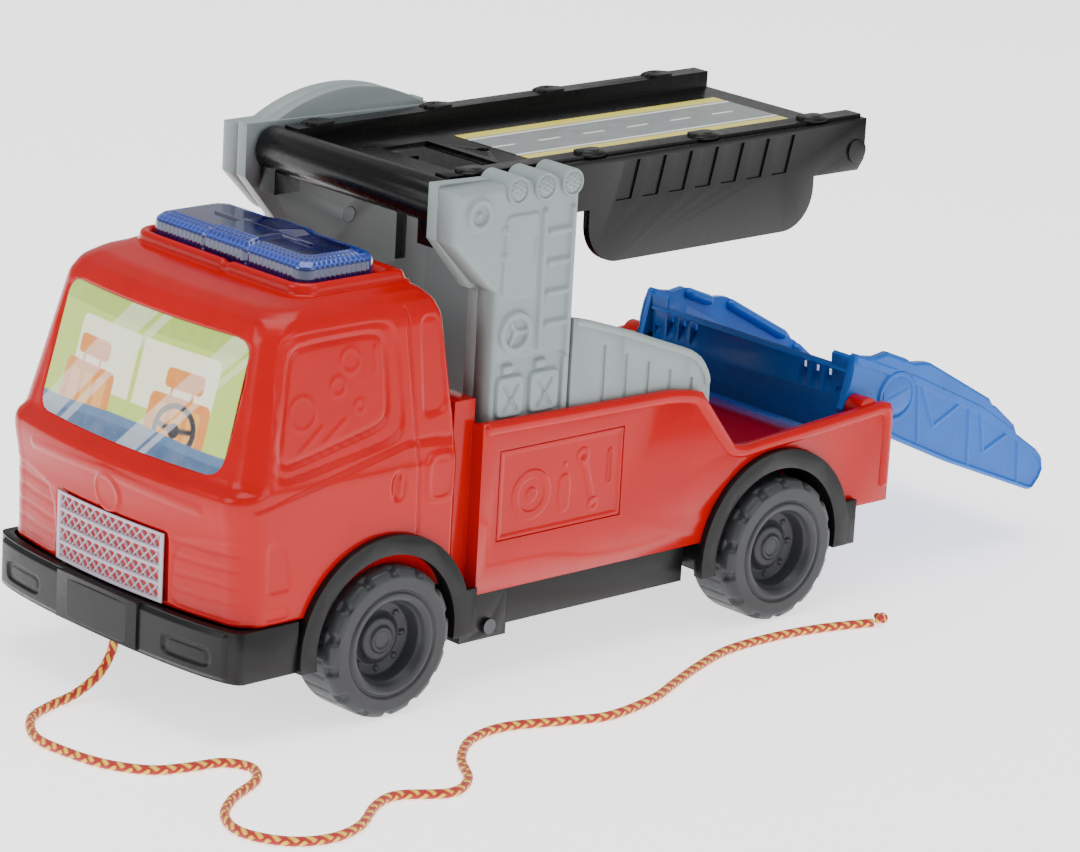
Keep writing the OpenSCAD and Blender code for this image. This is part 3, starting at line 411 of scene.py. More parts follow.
n = Nodes("braided_cord")
fleck = n.add("ShaderNodeAttribute", attribute_name="fleck").outputs["Fac"]
red_yarn = n.blend(n.spread(n.noise(0.6), 0, 1), linear(150, 8, 8), linear(186, 20, 16))
yellow_yarn = n.blend(n.spread(n.noise(0.6), 0, 1), linear(232, 186, 30), linear(248, 214, 70))
n.link(n.blend(fleck, red_yarn, yellow_yarn), n.shader.inputs["Base Color"])
n.link(n.spread(n.noise(1), 0.6, 0.8), n.shader.inputs["Roughness"])
n.shader.inputs["Sheen Weight"].default_value = 0.3
n.bump(n.noise(0.25, 2), 0.6, 0.08)
cord_finish = n.material


def capped(rows, columns):
    """Faces of a tube with both ends closed by fans to two extra points after the grid."""
    sides = grid_faces(rows, columns, close_columns=True)
    j = np.arange(columns)
    k = (j + 1) % columns
    start = np.stack([j, k, np.full(columns, rows * columns)], axis=1)
    last = (rows - 1) * columns
    end = np.stack([last + k, last + j, np.full(columns, rows * columns + 1)], axis=1)
    return [*sides, *start, *end]


cord_points = np.vstack([tube.reshape(-1, 3), line[0], line[-1]])
cord = piece("pull_cord_braid", cord_points, capped(len(steps), len(around)), "truck", cord_finish)
flecks = cord.data.attributes.new("fleck", "FLOAT", "POINT")
flecks.data.foreach_set("value", np.append(yellow.ravel(), [0, 0]).astype(np.float32))
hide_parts("pull_cord")

# %% [markdown]
# The knot at the cord's end is the cord wound over itself, so it is a closed tube along a
# trefoil-like loop squeezed into a ball. The anchor knot inside the bumper stays as in CAD.


# %% End knot
def knot(name, centre, size, body, finish):
    """A tube along a trefoil: x = sin t + 2 sin 2t, y = cos t - 2 cos 2t, z = -sin 3t, squeezed small."""
    t = np.linspace(0, 2 * np.pi, 120, endpoint=False)
    path = np.stack([np.sin(t) + 2 * np.sin(2 * t), np.cos(t) - 2 * np.cos(2 * t), -1.2 * np.sin(3 * t)])
    path = path.T * size / 3.6
    tangent = np.roll(path, -1, axis=0) - np.roll(path, 1, axis=0)
    tangent /= np.linalg.norm(tangent, axis=1)[:, None]
    outward = path - (path * tangent).sum(axis=1)[:, None] * tangent
    outward /= np.linalg.norm(outward, axis=1)[:, None]
    sideways = np.cross(tangent, outward)
    ring = np.linspace(0, 2 * np.pi, 16, endpoint=False)
    points = path[:, None] + 1.25 * (np.cos(ring)[None, :, None] * outward[:, None]
                                     + np.sin(ring)[None, :, None] * sideways[:, None])
    return piece(name, points + centre, grid_faces(120, 16, True, True), body, finish)


end_lo, end_hi = box_mm("cord_end_knot")
end_knot = knot("cord_end_wrap", (end_lo + end_hi) / 2, 1.95, "truck", cord_finish)
fleck = end_knot.data.attributes.new("fleck", "FLOAT", "POINT")
turns = np.arange(len(end_knot.data.vertices)) // 16
fleck.data.foreach_set("value", (turns // 5 % 3 == 0).astype(np.float32))
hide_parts("cord_end_knot")
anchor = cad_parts["cord_anchor_knot"]
anchor.data.materials.clear()
anchor.data.materials.append(cord_finish)

# %% [markdown]
# ## The cab
# The cab is one soft red moulding. Seen from above each level is a rounded rectangle with a
# bowed front, and its size changes with height: nearly upright to the belt, leaning back at
# the windscreen, and rolling over into the roof and the collar round the light bar. The
# embossed windows, door handle, lamps and badge are small moves along the surface.

# %% Rounded loops
FRONT_N, CORNER_N, SIDE_N, BACK_N = 76, 12, 136, 10


def loop(x_back, x_front, half_width, corner, bow, back_corner=3.0):
    """Closed rounded rectangles, one row per level, from the front centre round by the left side.
    Each is bowed: x falls by bow * (y / 67)^2 along the front."""
    x_back, x_front, w, r, bow, rb = (np.broadcast_to(np.asarray(v, float), np.shape(x_back))[:, None]
                                      for v in (x_back, x_front, half_width, corner, bow, back_corner))
    t = np.linspace(0, 1, FRONT_N, endpoint=False)[None]
    y1 = t * (w - r)
    x1 = x_front - bow * (y1 / 67) ** 2
    phi = np.linspace(0, np.pi / 2, CORNER_N, endpoint=False)[None]
    cx, cy = x_front - bow * ((w - r) / 67) ** 2 - r, w - r
    x2, y2 = cx + r * np.cos(phi), cy + r * np.sin(phi)
    t = np.linspace(0, 1, SIDE_N, endpoint=False)[None]
    x3, y3 = cx + (x_back + rb - cx) * t, w + 0 * t
    phi = np.linspace(np.pi / 2, np.pi, 6, endpoint=False)[None]
    x4, y4 = x_back + rb + rb * np.cos(phi), w - rb + rb * np.sin(phi)
    t = np.linspace(0, 1, BACK_N)[None]
    x5, y5 = x_back + 0 * t, (w - rb) * (1 - t)
    x = np.concatenate([x1, x2, x3, x4, x5], axis=1)
    y = np.concatenate([y1, y2, y3, y4, y5], axis=1)
    return (np.concatenate([x, x[:, -2:0:-1]], axis=1), np.concatenate([y, -y[:, -2:0:-1]], axis=1))


HALF_LOOP = FRONT_N + CORNER_N + SIDE_N + 6 + BACK_N
on_front = np.zeros(2 * HALF_LOOP - 2)
on_front[:FRONT_N + 2] = 1
on_side = np.zeros(2 * HALF_LOOP - 2)
on_side[FRONT_N + CORNER_N - 3:FRONT_N + CORNER_N + SIDE_N + 1] = 1
on_front, on_side = (np.maximum(m, np.roll(m[::-1], 1)) for m in (on_front, on_side))

# %% Cab levels
cab_lo, cab_hi = box_mm("cab_shell")
lens_lo, lens_hi = box_mm("light_bar_lens")
axle_lo, axle_hi = box_mm("front_axle")
front_x = (axle_lo[0] + axle_hi[0]) / 2
wheel_z = (axle_lo[2] + axle_hi[2]) / 2
FACE = cab_hi[0] - 2
REAR = cab_lo[0]
BAR_BACK, BAR_FRONT, BAR_HALF = lens_lo[0] + 1.6, lens_hi[0] - 1.6, lens_hi[1] - 1.6
COLLAR_Z = cab_hi[2]
ROOF_Z = COLLAR_Z - 4.5

# z, front, half width, back of each level
levels = eased_line([
    [41.5, FACE - 0.6, 66.4, REAR], [72, FACE, 66.4, REAR], [79, FACE + 1.4, 66.4, REAR],
    [83, FACE + 2, 66.5, REAR], [86.5, FACE + 1.5, 66.6, REAR], [89, FACE - 2.4, 66, REAR],
    [100, FACE - 5.7, 64.6, REAR + 0.7], [137.5, FACE - 15.9, 59, REAR + 3.5],
    [142.5, FACE - 19, 56, REAR + 5], [145.6, FACE - 25, 52, REAR + 8], [146.8, FACE - 33, 49.5, REAR + 10],
], 0.9, 4)
z, front, width, rear = levels.T
x, y = loop(rear, front, width, 11, 7.5)
z = np.repeat(z[:, None], x.shape[1], axis=1)

# The bottom edge follows the wheel arch at the sides
ARCH_R = 38.4
arch = wheel_z + np.sqrt(np.clip(ARCH_R**2 - (x[0] - front_x) ** 2, 0, None))
foot = np.where(np.abs(y[0]) > 50, np.maximum(arch, 41.5), 41.5)
low_part = z < 76
z = np.where(low_part, foot + (76 - foot) * (z - 41.5) / (76 - 41.5), z)


# %% Cab reliefs
def side_relief(x, z):
    """Height in mm of the embossing on a side: windows, door seam, handle, lamp patches and crease."""
    h = 0.55 * ramp_up(np.interp(x, [108, 129.5, 197.5], [93.3, 95.6, 81.8]) - z, -0.6, 1.0)
    h = h - 0.7 * inside(x, z, [(129.5, 97.5), (189, 88.5), (183, 139.6), (131.2, 139.6)], 1.2, 3)
    h = h - 0.7 * inside(x, z, [(135.6, 103), (187.4, 93), (179, 136), (135.6, 136.2)], 0.9, 3)
    h = h + 0.45 * inside(x, z, [(137.2, 104.6), (185.4, 95.2), (177.6, 134.4), (137.2, 134.6)], 0.9, 2)
    h = h - 0.55 * inside(x, z, [(110.6, 104), (122.2, 103), (121, 138.6), (111.8, 138.6)], 0.9, 1.5)
    h = h - 0.6 * groove(x, z, (124.6, 64), (126.6, 141), 0.9)
    h = h - 0.5 * groove(x, z, (124.6, 96.5), (107, 95.2), 0.7)
    h = h + 0.4 * block(x, z, 107.5, 122.4, 72, 91.5, 0.9, 2)
    h = h - 0.3 * block(x, z, 109.5, 120.4, 74, 89.5, 0.9, 2)
    h = h - 1.1 * block(x, z, 129.4, 138.6, 73.6, 89.4, 1.4, 3)
    h = h + 2.1 * block(x, z, 131.2, 135, 75.2, 87.8, 1.2, 1.5)
    h = h - 0.35 * block(x, z, 180.6, 192, 42.6, 47.4, 0.6, 0.8)
    h = h - 0.4 * inside(x, z, [(179.4, 52), (191, 52), (191, 71.5), (183, 69)], 0.9, 1)
    # Soft generic pictures inside the window: rounded rings and bars
    for cx, cz, r in ((152, 127, 5), (158, 119, 4), (174, 112, 6.5), (149, 111, 3)):
        h = h + 0.09 * (disc(x, z, (cx, cz), r, 0.7) - disc(x, z, (cx, cz), r - 1.2, 0.7))
    for start, end in (((166, 106), (176, 99)), ((156, 107), (165, 101)), ((141, 130), (141, 122))):
        h = h + 0.09 * groove(x, z, start, end, 1.3)
    return h


def front_relief(y, z):
    """Height in mm of the embossing on the front: windscreen seat, headlamps and a bare badge."""
    side = np.abs(y)
    h = -0.75 * block(y, z, -51.2, 51.2, 90.2, 137, 0.9, 3.2)
    h = h - 0.5 * inside(side, z, [(31, 42.6), (70, 42.6), (70, 72), (36, 67.5), (31.8, 60)], 0.9, 2)
    for level in (48.4, 54.2, 60, 65.4):
        h = h - 0.4 * groove(side, z, (34, level), (70, level + 1.4), 0.9)
    h = h + 0.8 * disc(y, z, (0, 74), 7.4, 0.9) - 0.35 * disc(y, z, (0, 74), 6, 0.8)
    h = h + 0.5 * groove(side, z, (0, 81.8), (46, 79.5), 2.4)
    h = h - 1.3 * block(y, z, -31, 31, 41.7, 67.3, 0.7, 0.8)
    return h


nudge_side = side_relief(x, z) * on_side[None]
nudge_front = front_relief(y, z) * ramp_up(66.5 - np.abs(y), 0, 6) * (x > 170)
lean = np.gradient(front) / np.gradient(levels[:, 0])
slant = 1 / np.sqrt(1 + lean**2)
y = y + np.sign(y) * nudge_side
x = x + nudge_front * slant[:, None]
z = z - nudge_front * (lean * slant)[:, None]

# %% Roof, collar and the opening for the light bar
hole = (BAR_BACK - 0.4, BAR_FRONT + 0.4, BAR_HALF + 0.4)
last = levels[-1]
t = np.linspace(0.06, 1, 12)
roof = np.stack([last[0] + (ROOF_Z + 0.5 - last[0]) * np.sin(t * np.pi / 2),
                 last[1] + (hole[1] + 5.2 - last[1]) * t, last[2] + (hole[2] + 4.4 - last[2]) * t,
                 last[3] + (hole[0] - 10 - last[3]) * t, 11 - 3 * t, 7.5 - 6 * t], axis=1)
rim = eased_line([[ROOF_Z + 0.5, 5.2], [ROOF_Z + 0.6, 4.4], [COLLAR_Z - 0.7, 3.9], [COLLAR_Z, 3.2],
                  [COLLAR_Z, 1.6], [COLLAR_Z - 0.5, 0.9], [COLLAR_Z - 1.5, 0.6], [COLLAR_Z - 1.8, 0.1],
                  [COLLAR_Z - 6, 0]], 0.6, 1.4)[1:]
collar = np.stack([rim[:, 0], hole[1] + rim[:, 1], hole[2] + rim[:, 1] * 0.85, hole[0] - rim[:, 1] * 2,
                   6.5 + rim[:, 1] * 0.3, 1.5 * np.clip(rim[:, 1] / 5, 0, 1)], axis=1)
top = np.vstack([roof, collar])
xt, yt = loop(top[:, 3], top[:, 1], top[:, 2], top[:, 4], top[:, 5])
zt = np.repeat(top[:, :1], xt.shape[1], axis=1)
gap = np.exp(-((np.abs(yt - 6) - 0.8) / 1.2) ** 2) * (xt > hole[1]) * (zt > ROOF_Z + 1)
zt = zt - 0.9 * gap
outer = np.stack([np.vstack([x, xt]), np.vstack([y, yt]), np.vstack([z, zt])], axis=-1)

# The inner skin: a plain loop every few levels, 1.8 mm further in, from the hole down to the foot
rows = np.linspace(len(levels) - 1, 0, 9).round().astype(int)
lz = levels[rows, 0] - 1.5 * (levels[rows, 0] > 140)
ix, iy = loop(rear[rows] + 1.8, front[rows] - 2.6, width[rows] - 2.4, 9.5, 7.5, 2.0)
iz = np.repeat(lz[:, None], ix.shape[1], axis=1)
inner_foot = np.where(np.abs(iy[0]) > 50, np.maximum(arch, 41.5), 41.5)
iz = np.where(iz < 76, inner_foot + (76 - inner_foot) * (iz - 41.5) / (76 - 41.5), iz)
skin = np.stack([ix, iy, iz], axis=-1)
cab_points = np.concatenate([outer, skin])
cab = piece("cab_moulding", cab_points, grid_faces(*cab_points.shape[:2], True, True), "truck", red)
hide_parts("cab_shell")

# %% [markdown]
# ## The windscreen print
# Behind the windscreen is a printed picture of a plain cab interior: pale green walls, a rear
# window, two orange seats, a steering wheel and a slate dashboard, with pale diagonal stripes of
# painted reflection laid over it. The picture is painted as a colour at each point of a fine grid
# that lies in the windscreen's seat.

# %% Windscreen picture
GLASS_W, GLASS_LOW, GLASS_HIGH, GLASS_R = 50.6, 90.8, 136.4, 6.0
p = np.linspace(-1, 1, 256)[None]
q = np.linspace(GLASS_LOW, GLASS_HIGH, 150)[:, None]
inset = np.clip(GLASS_R - (q - GLASS_LOW), 0, None) + np.clip(GLASS_R - (GLASS_HIGH - q), 0, None)
half_row = GLASS_W - (q - GLASS_LOW) * 0.02 - (GLASS_R - np.sqrt(np.clip(GLASS_R**2 - inset**2, 0, None)))
gy = p * half_row
gz = q + 0 * p
gx = np.interp(gz, levels[:, 0], front) - 7.5 * (gy / 67) ** 2 - 0.2


def paint(picture, mask, colour):
    """Lays a colour over the picture where mask is 1."""
    return picture + mask[..., None] * (np.array(linear(*colour)[:3]) - picture)


def seat(y, z, at):
    """A seat back with a headrest."""
    back_rest = block(y, z, at - 15, at + 15, 80, 112, 0.3, 1.2)
    head = block(y, z, at - 9.5, at + 9.5, 114, 121, 0.3, 0.8)
    posts = ramp_up(0.8 - np.abs(np.abs(y - at) - 5), 0, 0.3)
    posts = posts * block(y, z, at - 9, at + 9, 110, 116, 0.3, 0.3)
    return np.maximum(np.maximum(back_rest, head), posts)


picture = np.zeros(gy.shape + (3,)) + np.array(linear(190, 216, 96)[:3])
picture = paint(picture, block(gy, gz, -60, 60, 129.5, 140, 0.3), (168, 198, 78))
picture = paint(picture, block(gy, gz, -36, 40, 105, 127.5, 0.3, 1.0), (250, 250, 214))
picture = paint(picture, block(gy, gz, -1.4, 1.4, 105, 127.5, 0.3, 0.2), (190, 216, 96))
for at in (-25, 25):
    picture = paint(picture, seat(gy, gz, at), (228, 140, 52))
    for strip in (-8, 0, 8):
        pad = block(gy, gz, at + strip - 3, at + strip + 3, 80, 109, 0.3, 0.8)
        picture = paint(picture, pad, (240, 172, 84))
wheel_r = np.hypot(gy - 25, (gz - 101) * 1.15)
picture = paint(picture, ramp_up(10.6 - wheel_r, 0, 0.3) * ramp_up(wheel_r, 8, 8.3), (44, 46, 54))
picture = paint(picture, ramp_up(3 - wheel_r, 0, 0.3), (44, 46, 54))
for end in ((16.5, 102), (33.5, 102), (25, 93)):
    picture = paint(picture, groove(gy, gz, (25, 101), end, 1.5), (44, 46, 54))
dash = ramp_up(98.6 + 1.2 * np.cos(gy / 16) - gz, 0, 0.3)
picture = paint(picture, dash, (84, 116, 152))
picture = paint(picture, ramp_up(95.4 + 1.2 * np.cos(gy / 16) - gz, 0, 0.3), (70, 98, 134))
# Painted reflection: pale diagonal stripes of white laid over the print, standing for glare on the glossy
# sheet.
for shift, wide in ((-20, 6), (-10, 2), (20, 4.5), (27, 1.5)):
    painted_glare = ramp_up(wide - np.abs(gy * 0.8 - (gz - 113) * 0.75 - shift), 0, 0.4)
    picture = paint(picture, 0.3 * painted_glare, (255, 255, 255))

n = Nodes("windscreen_print")
ink = n.add("ShaderNodeAttribute", attribute_name="ink").outputs["Color"]
faded = n.blend(n.spread(n.noise(6), 0, 0.06), ink, linear(255, 255, 250))
n.link(faded, n.shader.inputs["Base Color"])
n.link(n.spread(n.noise(2), 0.18, 0.28), n.shader.inputs["Roughness"])
n.bump(n.noise(8, 1), 0.3, 0.02)
print_finish = n.material


def sheet_block(name, top_points, drop, body, finish, colours=None, plain_back=False, flat_y=None):
    """A grid and its copy moved by drop, joined round the rim, with a colour at each point.
    With a plain back the copy is only its rim, closed by one face; flat_y sets the back's y."""
    rows, columns = top_points.shape[:2]
    upper = grid_faces(rows, columns)
    index = np.arange(rows * columns).reshape(rows, columns)
    rim = np.concatenate([index[0], index[1:, -1], index[-1, -2::-1], index[-2:0:-1, 0]])
    kept = rim if plain_back else index.ravel()
    top = top_points.reshape(-1, 3)
    lower = (top + drop)[kept]
    if flat_y is not None:
        lower[:, 1] = flat_y
    under = len(top) + (np.arange(len(rim)) if plain_back else rim)
    wall = np.stack([rim, np.roll(rim, -1), np.roll(under, -1), under], axis=1)
    back_faces = [under[::-1]] if plain_back else upper[:, ::-1] + len(top)
    made = piece(name, np.vstack([top, lower]), [*upper, *wall, *back_faces], body, finish)
    if colours is not None:
        rgba = np.concatenate([colours.reshape(-1, 3), np.ones((len(top), 1))], axis=1)
        layer = made.data.color_attributes.new("ink", "FLOAT_COLOR", "POINT")
        layer.data.foreach_set("color", np.vstack([rgba, rgba[kept]]).astype(np.float32).ravel())
    return made


label = sheet_block("windscreen_picture", np.stack([gx, gy, gz], axis=-1), np.array([-0.35, 0, 0]),
                    "truck", print_finish, picture)
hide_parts("windscreen_label")

# %% [markdown]
# ## The grille
# A silver frame with bars holds rows of crossed wires over the red moulding. It is one
# height field: the wires are where a coordinate along either diagonal comes near a whole
# number of pitches, and the same mask decides which points are silver and which are red.

# %% Grille
grille_lo, grille_hi = box_mm("grille_insert")
GRILLE_Z = (grille_lo[2] + grille_hi[2]) / 2
py = np.linspace(-29.8, 29.8, 264)[None]
pz = np.linspace(-12.4, 12.4, 116)[:, None]
ROW, PITCH, WIRE = 5.95, 4.3, 0.42
row = np.floor((pz + 11.9) / ROW)
in_row = (pz + 11.9) - row * ROW
bar = np.maximum(ramp_up(np.abs(in_row - ROW / 2), ROW / 2 - 0.95, ROW / 2 - 0.55) + 0 * py,
                 ramp_up(np.abs(py), 27.6, 28) + 0 * pz)
up = (py + in_row) / PITCH
down = (py - in_row) / PITCH
wires = np.maximum(*(ramp_up(WIRE - np.abs(d - np.round(d)) * PITCH * 0.7, 0, 0.18) for d in (up, down)))
silver = np.maximum(bar, wires)
height = np.maximum(-1.0 + 0.9 * wires, -1.0 + 1.7 * bar)
gyy, gzz = py + 0 * pz, GRILLE_Z + pz + 0 * py
gxx = FACE - 7.5 * (gyy / 67) ** 2 + height
ink_silver, ink_red = np.array(linear(178, 172, 186)[:3]), np.array(linear(180, 4, 8)[:3])
grille_ink = ink_red + silver[..., None] * (ink_silver - ink_red)
n = Nodes("grille_silver")
ink = n.add("ShaderNodeAttribute", attribute_name="ink").outputs["Color"]
n.link(n.blend(n.spread(n.noise(5), 0, 0.1), ink, linear(120, 118, 124)), n.shader.inputs["Base Color"])
n.link(n.spread(n.noise(1), 0.3, 0.42), n.shader.inputs["Roughness"])
n.bump(n.noise(0.4), 0.4, 0.02)
grille = sheet_block("grille_mesh", np.stack([gxx, gyy, gzz], axis=-1), np.array([-0.5, 0, 0]),
                     "truck", n.material, grille_ink)
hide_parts("grille_insert")

# %% [markdown]
# ## The light bar
# A clear blue lens in three parts: two lobes and a raised centre. Its walls carry fine upright
# ribs, and rows of small round cells run along its top edge. The loops of the cab are used
# again: up the wall, over the edge and across the top.

# %% Light bar
LENS_TOP = lens_hi[2]
lens_run = eased_line([[COLLAR_Z - 6, 0], [COLLAR_Z + 4.2, 0.7], [LENS_TOP - 2.2, 1.9], [LENS_TOP - 1.1, 5.5],
                       [LENS_TOP - 1.0, 17]], 0.4, 2.2)
lz, off = lens_run.T
lx, ly = loop(BAR_BACK + off, BAR_FRONT - off, BAR_HALF - off, np.clip(5.5 - off * 0.28, 0.4, None), 0, 
              np.clip(5.5 - off * 0.28, 0.4, None))
lz = np.repeat(lz[:, None], lx.shape[1], axis=1)
length_run = np.concatenate([[0], np.cumsum(np.hypot(*np.diff(lens_run, axis=0).T))])[:, None]
ring_x, ring_y = lx[0], ly[0]
round_run = np.concatenate([[0], np.cumsum(np.hypot(np.diff(ring_x), np.diff(ring_y)))])[None]
wall = ramp_up(lz, COLLAR_Z - 1, COLLAR_Z) * (1 - ramp_up(lz, COLLAR_Z + 4.4, COLLAR_Z + 5.4))
ribs = wall * ramp_up(np.cos(2 * np.pi * round_run / 2.3), 0.55, 1.0)
CELL = 2.35
band_start = 10.6
row_at = (length_run - band_start) / (CELL * 0.87)
row_n = np.floor(row_at)
in_band = (row_n >= 0) & (row_n < 3)
cell_u = round_run / CELL + 0.5 * (row_n % 2)
cell_d = np.hypot((cell_u - np.floor(cell_u) - 0.5), (row_at - row_n - 0.5) * 0.87) * CELL
cell = np.where(in_band, ramp_up(1.05 - cell_d, 0, 0.35), 0)
cell_rim = np.where(in_band, ramp_up(cell_d, 0.55, 0.95), 0)
centre = ramp_up(11.5 - np.abs(ly), 0, 0.8) * ramp_up(lz, COLLAR_Z - 1, COLLAR_Z)
seam = np.exp(-((np.abs(ly) - 11.6) / 0.7) ** 2) * ramp_up(lz, COLLAR_Z - 2, COLLAR_Z)
lz = lz - 0.28 * cell + 0.95 * centre * ramp_up(lz, COLLAR_Z + 3, LENS_TOP - 1) - 0.35 * seam
normal_x = np.sign(lx - (BAR_BACK + BAR_FRONT) / 2) * (np.abs(ly) < BAR_HALF - 5.5)
normal_y = np.sign(ly) * (np.abs(ly) > BAR_HALF - 3)
lx = lx + (0.12 * ribs + 0.25 * centre * wall - 0.5 * seam * wall) * normal_x
ly = ly + 0.12 * ribs * normal_y
lens_points = np.stack([lx, ly, lz], axis=-1)
lens_rows, lens_columns = lx.shape
across = np.arange(1, lens_columns // 2)
last_row = (lens_rows - 1) * lens_columns
bridge = np.stack([across - 1, across, lens_columns - across, (lens_columns - across + 1) % lens_columns])
lens_faces = [*grid_faces(lens_rows, lens_columns, close_columns=True), *(last_row + bridge.T)[1:-1]]
# Painted highlight: the lens colour turns pale blue on the cell rims, on the ribs and in a band along the top
# edge.
edge = ramp_up(lz, COLLAR_Z + 3, COLLAR_Z + 5) * (1 - ramp_up(lz, COLLAR_Z + 5, COLLAR_Z + 6.5))
painted_highlight = 0.6 * cell_rim + 0.2 * ribs + 0.3 * edge
n = Nodes("blue_lens")
painted_glint = n.add("ShaderNodeAttribute", attribute_name="painted_glint").outputs["Fac"]
deep = n.blend(n.spread(n.noise(9), 0, 1), linear(4, 8, 58), linear(10, 18, 88))
# The dark navy is blended to pale blue where the painted highlight is laid in.
n.link(n.blend(painted_glint, deep, linear(52, 88, 196)), n.shader.inputs["Base Color"])
n.link(n.spread(n.noise(2), 0.08, 0.16), n.shader.inputs["Roughness"])
n.shader.inputs["Coat Weight"].default_value = 0.6
n.shader.inputs["Subsurface Weight"].default_value = 0.15
n.shader.inputs["Subsurface Radius"].default_value = (0.001, 0.002, 0.006)
n.bump(n.noise(1.5), 0.3, 0.02)
lens = piece("light_bar_lens_shell", lens_points, lens_faces, "light_bar", n.material)
layer = lens.data.attributes.new("painted_glint", "FLOAT", "POINT")
print("lens points", lens_points.shape, len(lens.data.vertices))
layer.data.foreach_set("value", np.clip(painted_highlight, 0, 1).astype(np.float32).ravel()[:len(lens.data.vertices)])
thick = lens.modifiers.new("wall", "SOLIDIFY")
thick.thickness, thick.offset = 0.8 * MM, -1
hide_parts("light_bar_lens")

# %% [markdown]
# ## The wheels
# Each wheel is a single moulding that imitates a tyre on a rim: a flat sidewall, a rolled rim,
# a deep dish and a stepped hub with lug bumps. It is a profile turned about the axle, with
# notches cut in the shoulder and bumps added where angle and radius say.

# %% Wheels
WHEEL_STEPS = 224
wheel_lo, wheel_hi = box_mm("front_wheel_left")
WHEEL_W = wheel_hi[1] - wheel_lo[1]
outer_face = eased_line([
    [2.1, 2], [6, 2], [6, 4], [15.1, 9], [21.6, 7], [21.6, 0.2], [24.5, 0], [26.2, 0.7], [27, 2.4],
    [27, WHEEL_W - 3.6], [26.6, WHEEL_W - 1.8], [25.2, WHEEL_W - 0.6], [23.8, WHEEL_W - 0.1],
    [19.6, WHEEL_W - 0.1], [19.2, WHEEL_W - 0.9], [18.6, WHEEL_W - 0.9], [18.2, WHEEL_W - 0.1],
    [17, WHEEL_W], [15.6, WHEEL_W - 0.7], [14.6, WHEEL_W - 2.6], [14, WHEEL_W - 3.2], [13.2, WHEEL_W - 8.2],
    [9.8, WHEEL_W - 9.4], [8.4, WHEEL_W - 8.4], [7.4, WHEEL_W - 6.9], [5, WHEEL_W - 6.6],
    [4.4, WHEEL_W - 5.6], [3.4, WHEEL_W - 5.6], [3.0, WHEEL_W - 6.2], [0.05, WHEEL_W - 6.2]], 0.35, 0.9)
turn = np.linspace(0, 2 * np.pi, WHEEL_STEPS, endpoint=False)[None]
wr, wy = outer_face[:, :1] + 0 * turn, outer_face[:, 1:] + 0 * turn
phase = (turn * 14 / (2 * np.pi)) % 1 - 0.5
notch = (1 - ramp_up(np.abs(phase), 0.11, 0.14))
shoulder = ramp_up(wr, 24.4, 25) * ramp_up(wy, WHEEL_W - 5, WHEEL_W - 4.4)
wr = wr - 1.5 * notch * shoulder
tread = (1 - ramp_up(np.abs((turn * 28 / (2 * np.pi)) % 1 - 0.5), 0.08, 0.12))
tread_band = (1 - ramp_up(wy, WHEEL_W - 6, WHEEL_W - 5.4)) * ramp_up(wy, 3, 3.6)
wr = wr - 0.45 * tread * ramp_up(wr, 26.4, 26.8) * tread_band
lug = np.round(turn * 8 / (2 * np.pi)) * 2 * np.pi / 8
lug_d = np.hypot(wr * np.cos(turn) - 11 * np.cos(lug), wr * np.sin(turn) - 11 * np.sin(lug))
wy = wy + 1.1 * ramp_up(1.25 - lug_d, 0, 0.6) * (wy > WHEEL_W - 11)
for end, word, side in ((end, word, side) for end in ("front", "rear") for word, side in SIDES):
    node = f"{end}_wheel_{word}"
    lo, hi = box_mm(node)
    at = (lo + hi) / 2
    inner_y = lo[1] if side > 0 else hi[1]
    points = np.stack([at[0] + wr * np.cos(turn), inner_y + side * wy, at[2] + wr * np.sin(turn)], axis=-1)
    ends = np.array([[at[0], inner_y + side * 2, at[2]], [at[0], inner_y + side * (WHEEL_W - 6.2), at[2]]])
    made = piece(f"wheel_{end}_{word}", np.vstack([points.reshape(-1, 3), ends]),
                 capped(len(outer_face), WHEEL_STEPS), end + "_wheelset", tyre)
    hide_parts(node)

# %% [markdown]
# ## The road print on the deck
# A yellow label with a plain road: a pale lane, dashes down the middle and dark edges.

# %% Deck label
label_lo, label_hi = box_mm("deck_label")
dx = np.linspace(label_lo[0], label_hi[0], 240)[:, None]
dy = np.linspace(label_lo[1], label_hi[1], 80)[None]
lane = ramp_up(15 - np.abs(dy), 0, 0.5) + 0 * dx
road = np.zeros(lane.shape + (3,)) + np.array(linear(228, 214, 72)[:3])
road = paint(road, lane, (120, 128, 128))
road = paint(road, ramp_up(0.9 - np.abs(np.abs(dy) - 13), 0, 0.4) + 0 * dx, (240, 240, 230))
dash_on = ramp_up(0.25 - np.abs((dx / 22) % 1 - 0.5), 0, 0.02)
road = paint(road, ramp_up(0.9 - np.abs(dy), 0, 0.4) * dash_on, (240, 240, 230))
deck_points = np.stack([dx + 0 * dy, dy + 0 * dx, np.full(lane.shape, label_hi[2])], axis=-1)
road_label = sheet_block("deck_road_print", deck_points, np.array([0, 0, -0.28]), "deck", print_finish,
                         road, plain_back=True)
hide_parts("deck_label")

# %% [markdown]
# ## Rolled rims
# The open edges of the bed and of the grey side panels end in a thick rounded rim. Each rim
# is an oval carried along the edge's outline, with a dome at both ends.


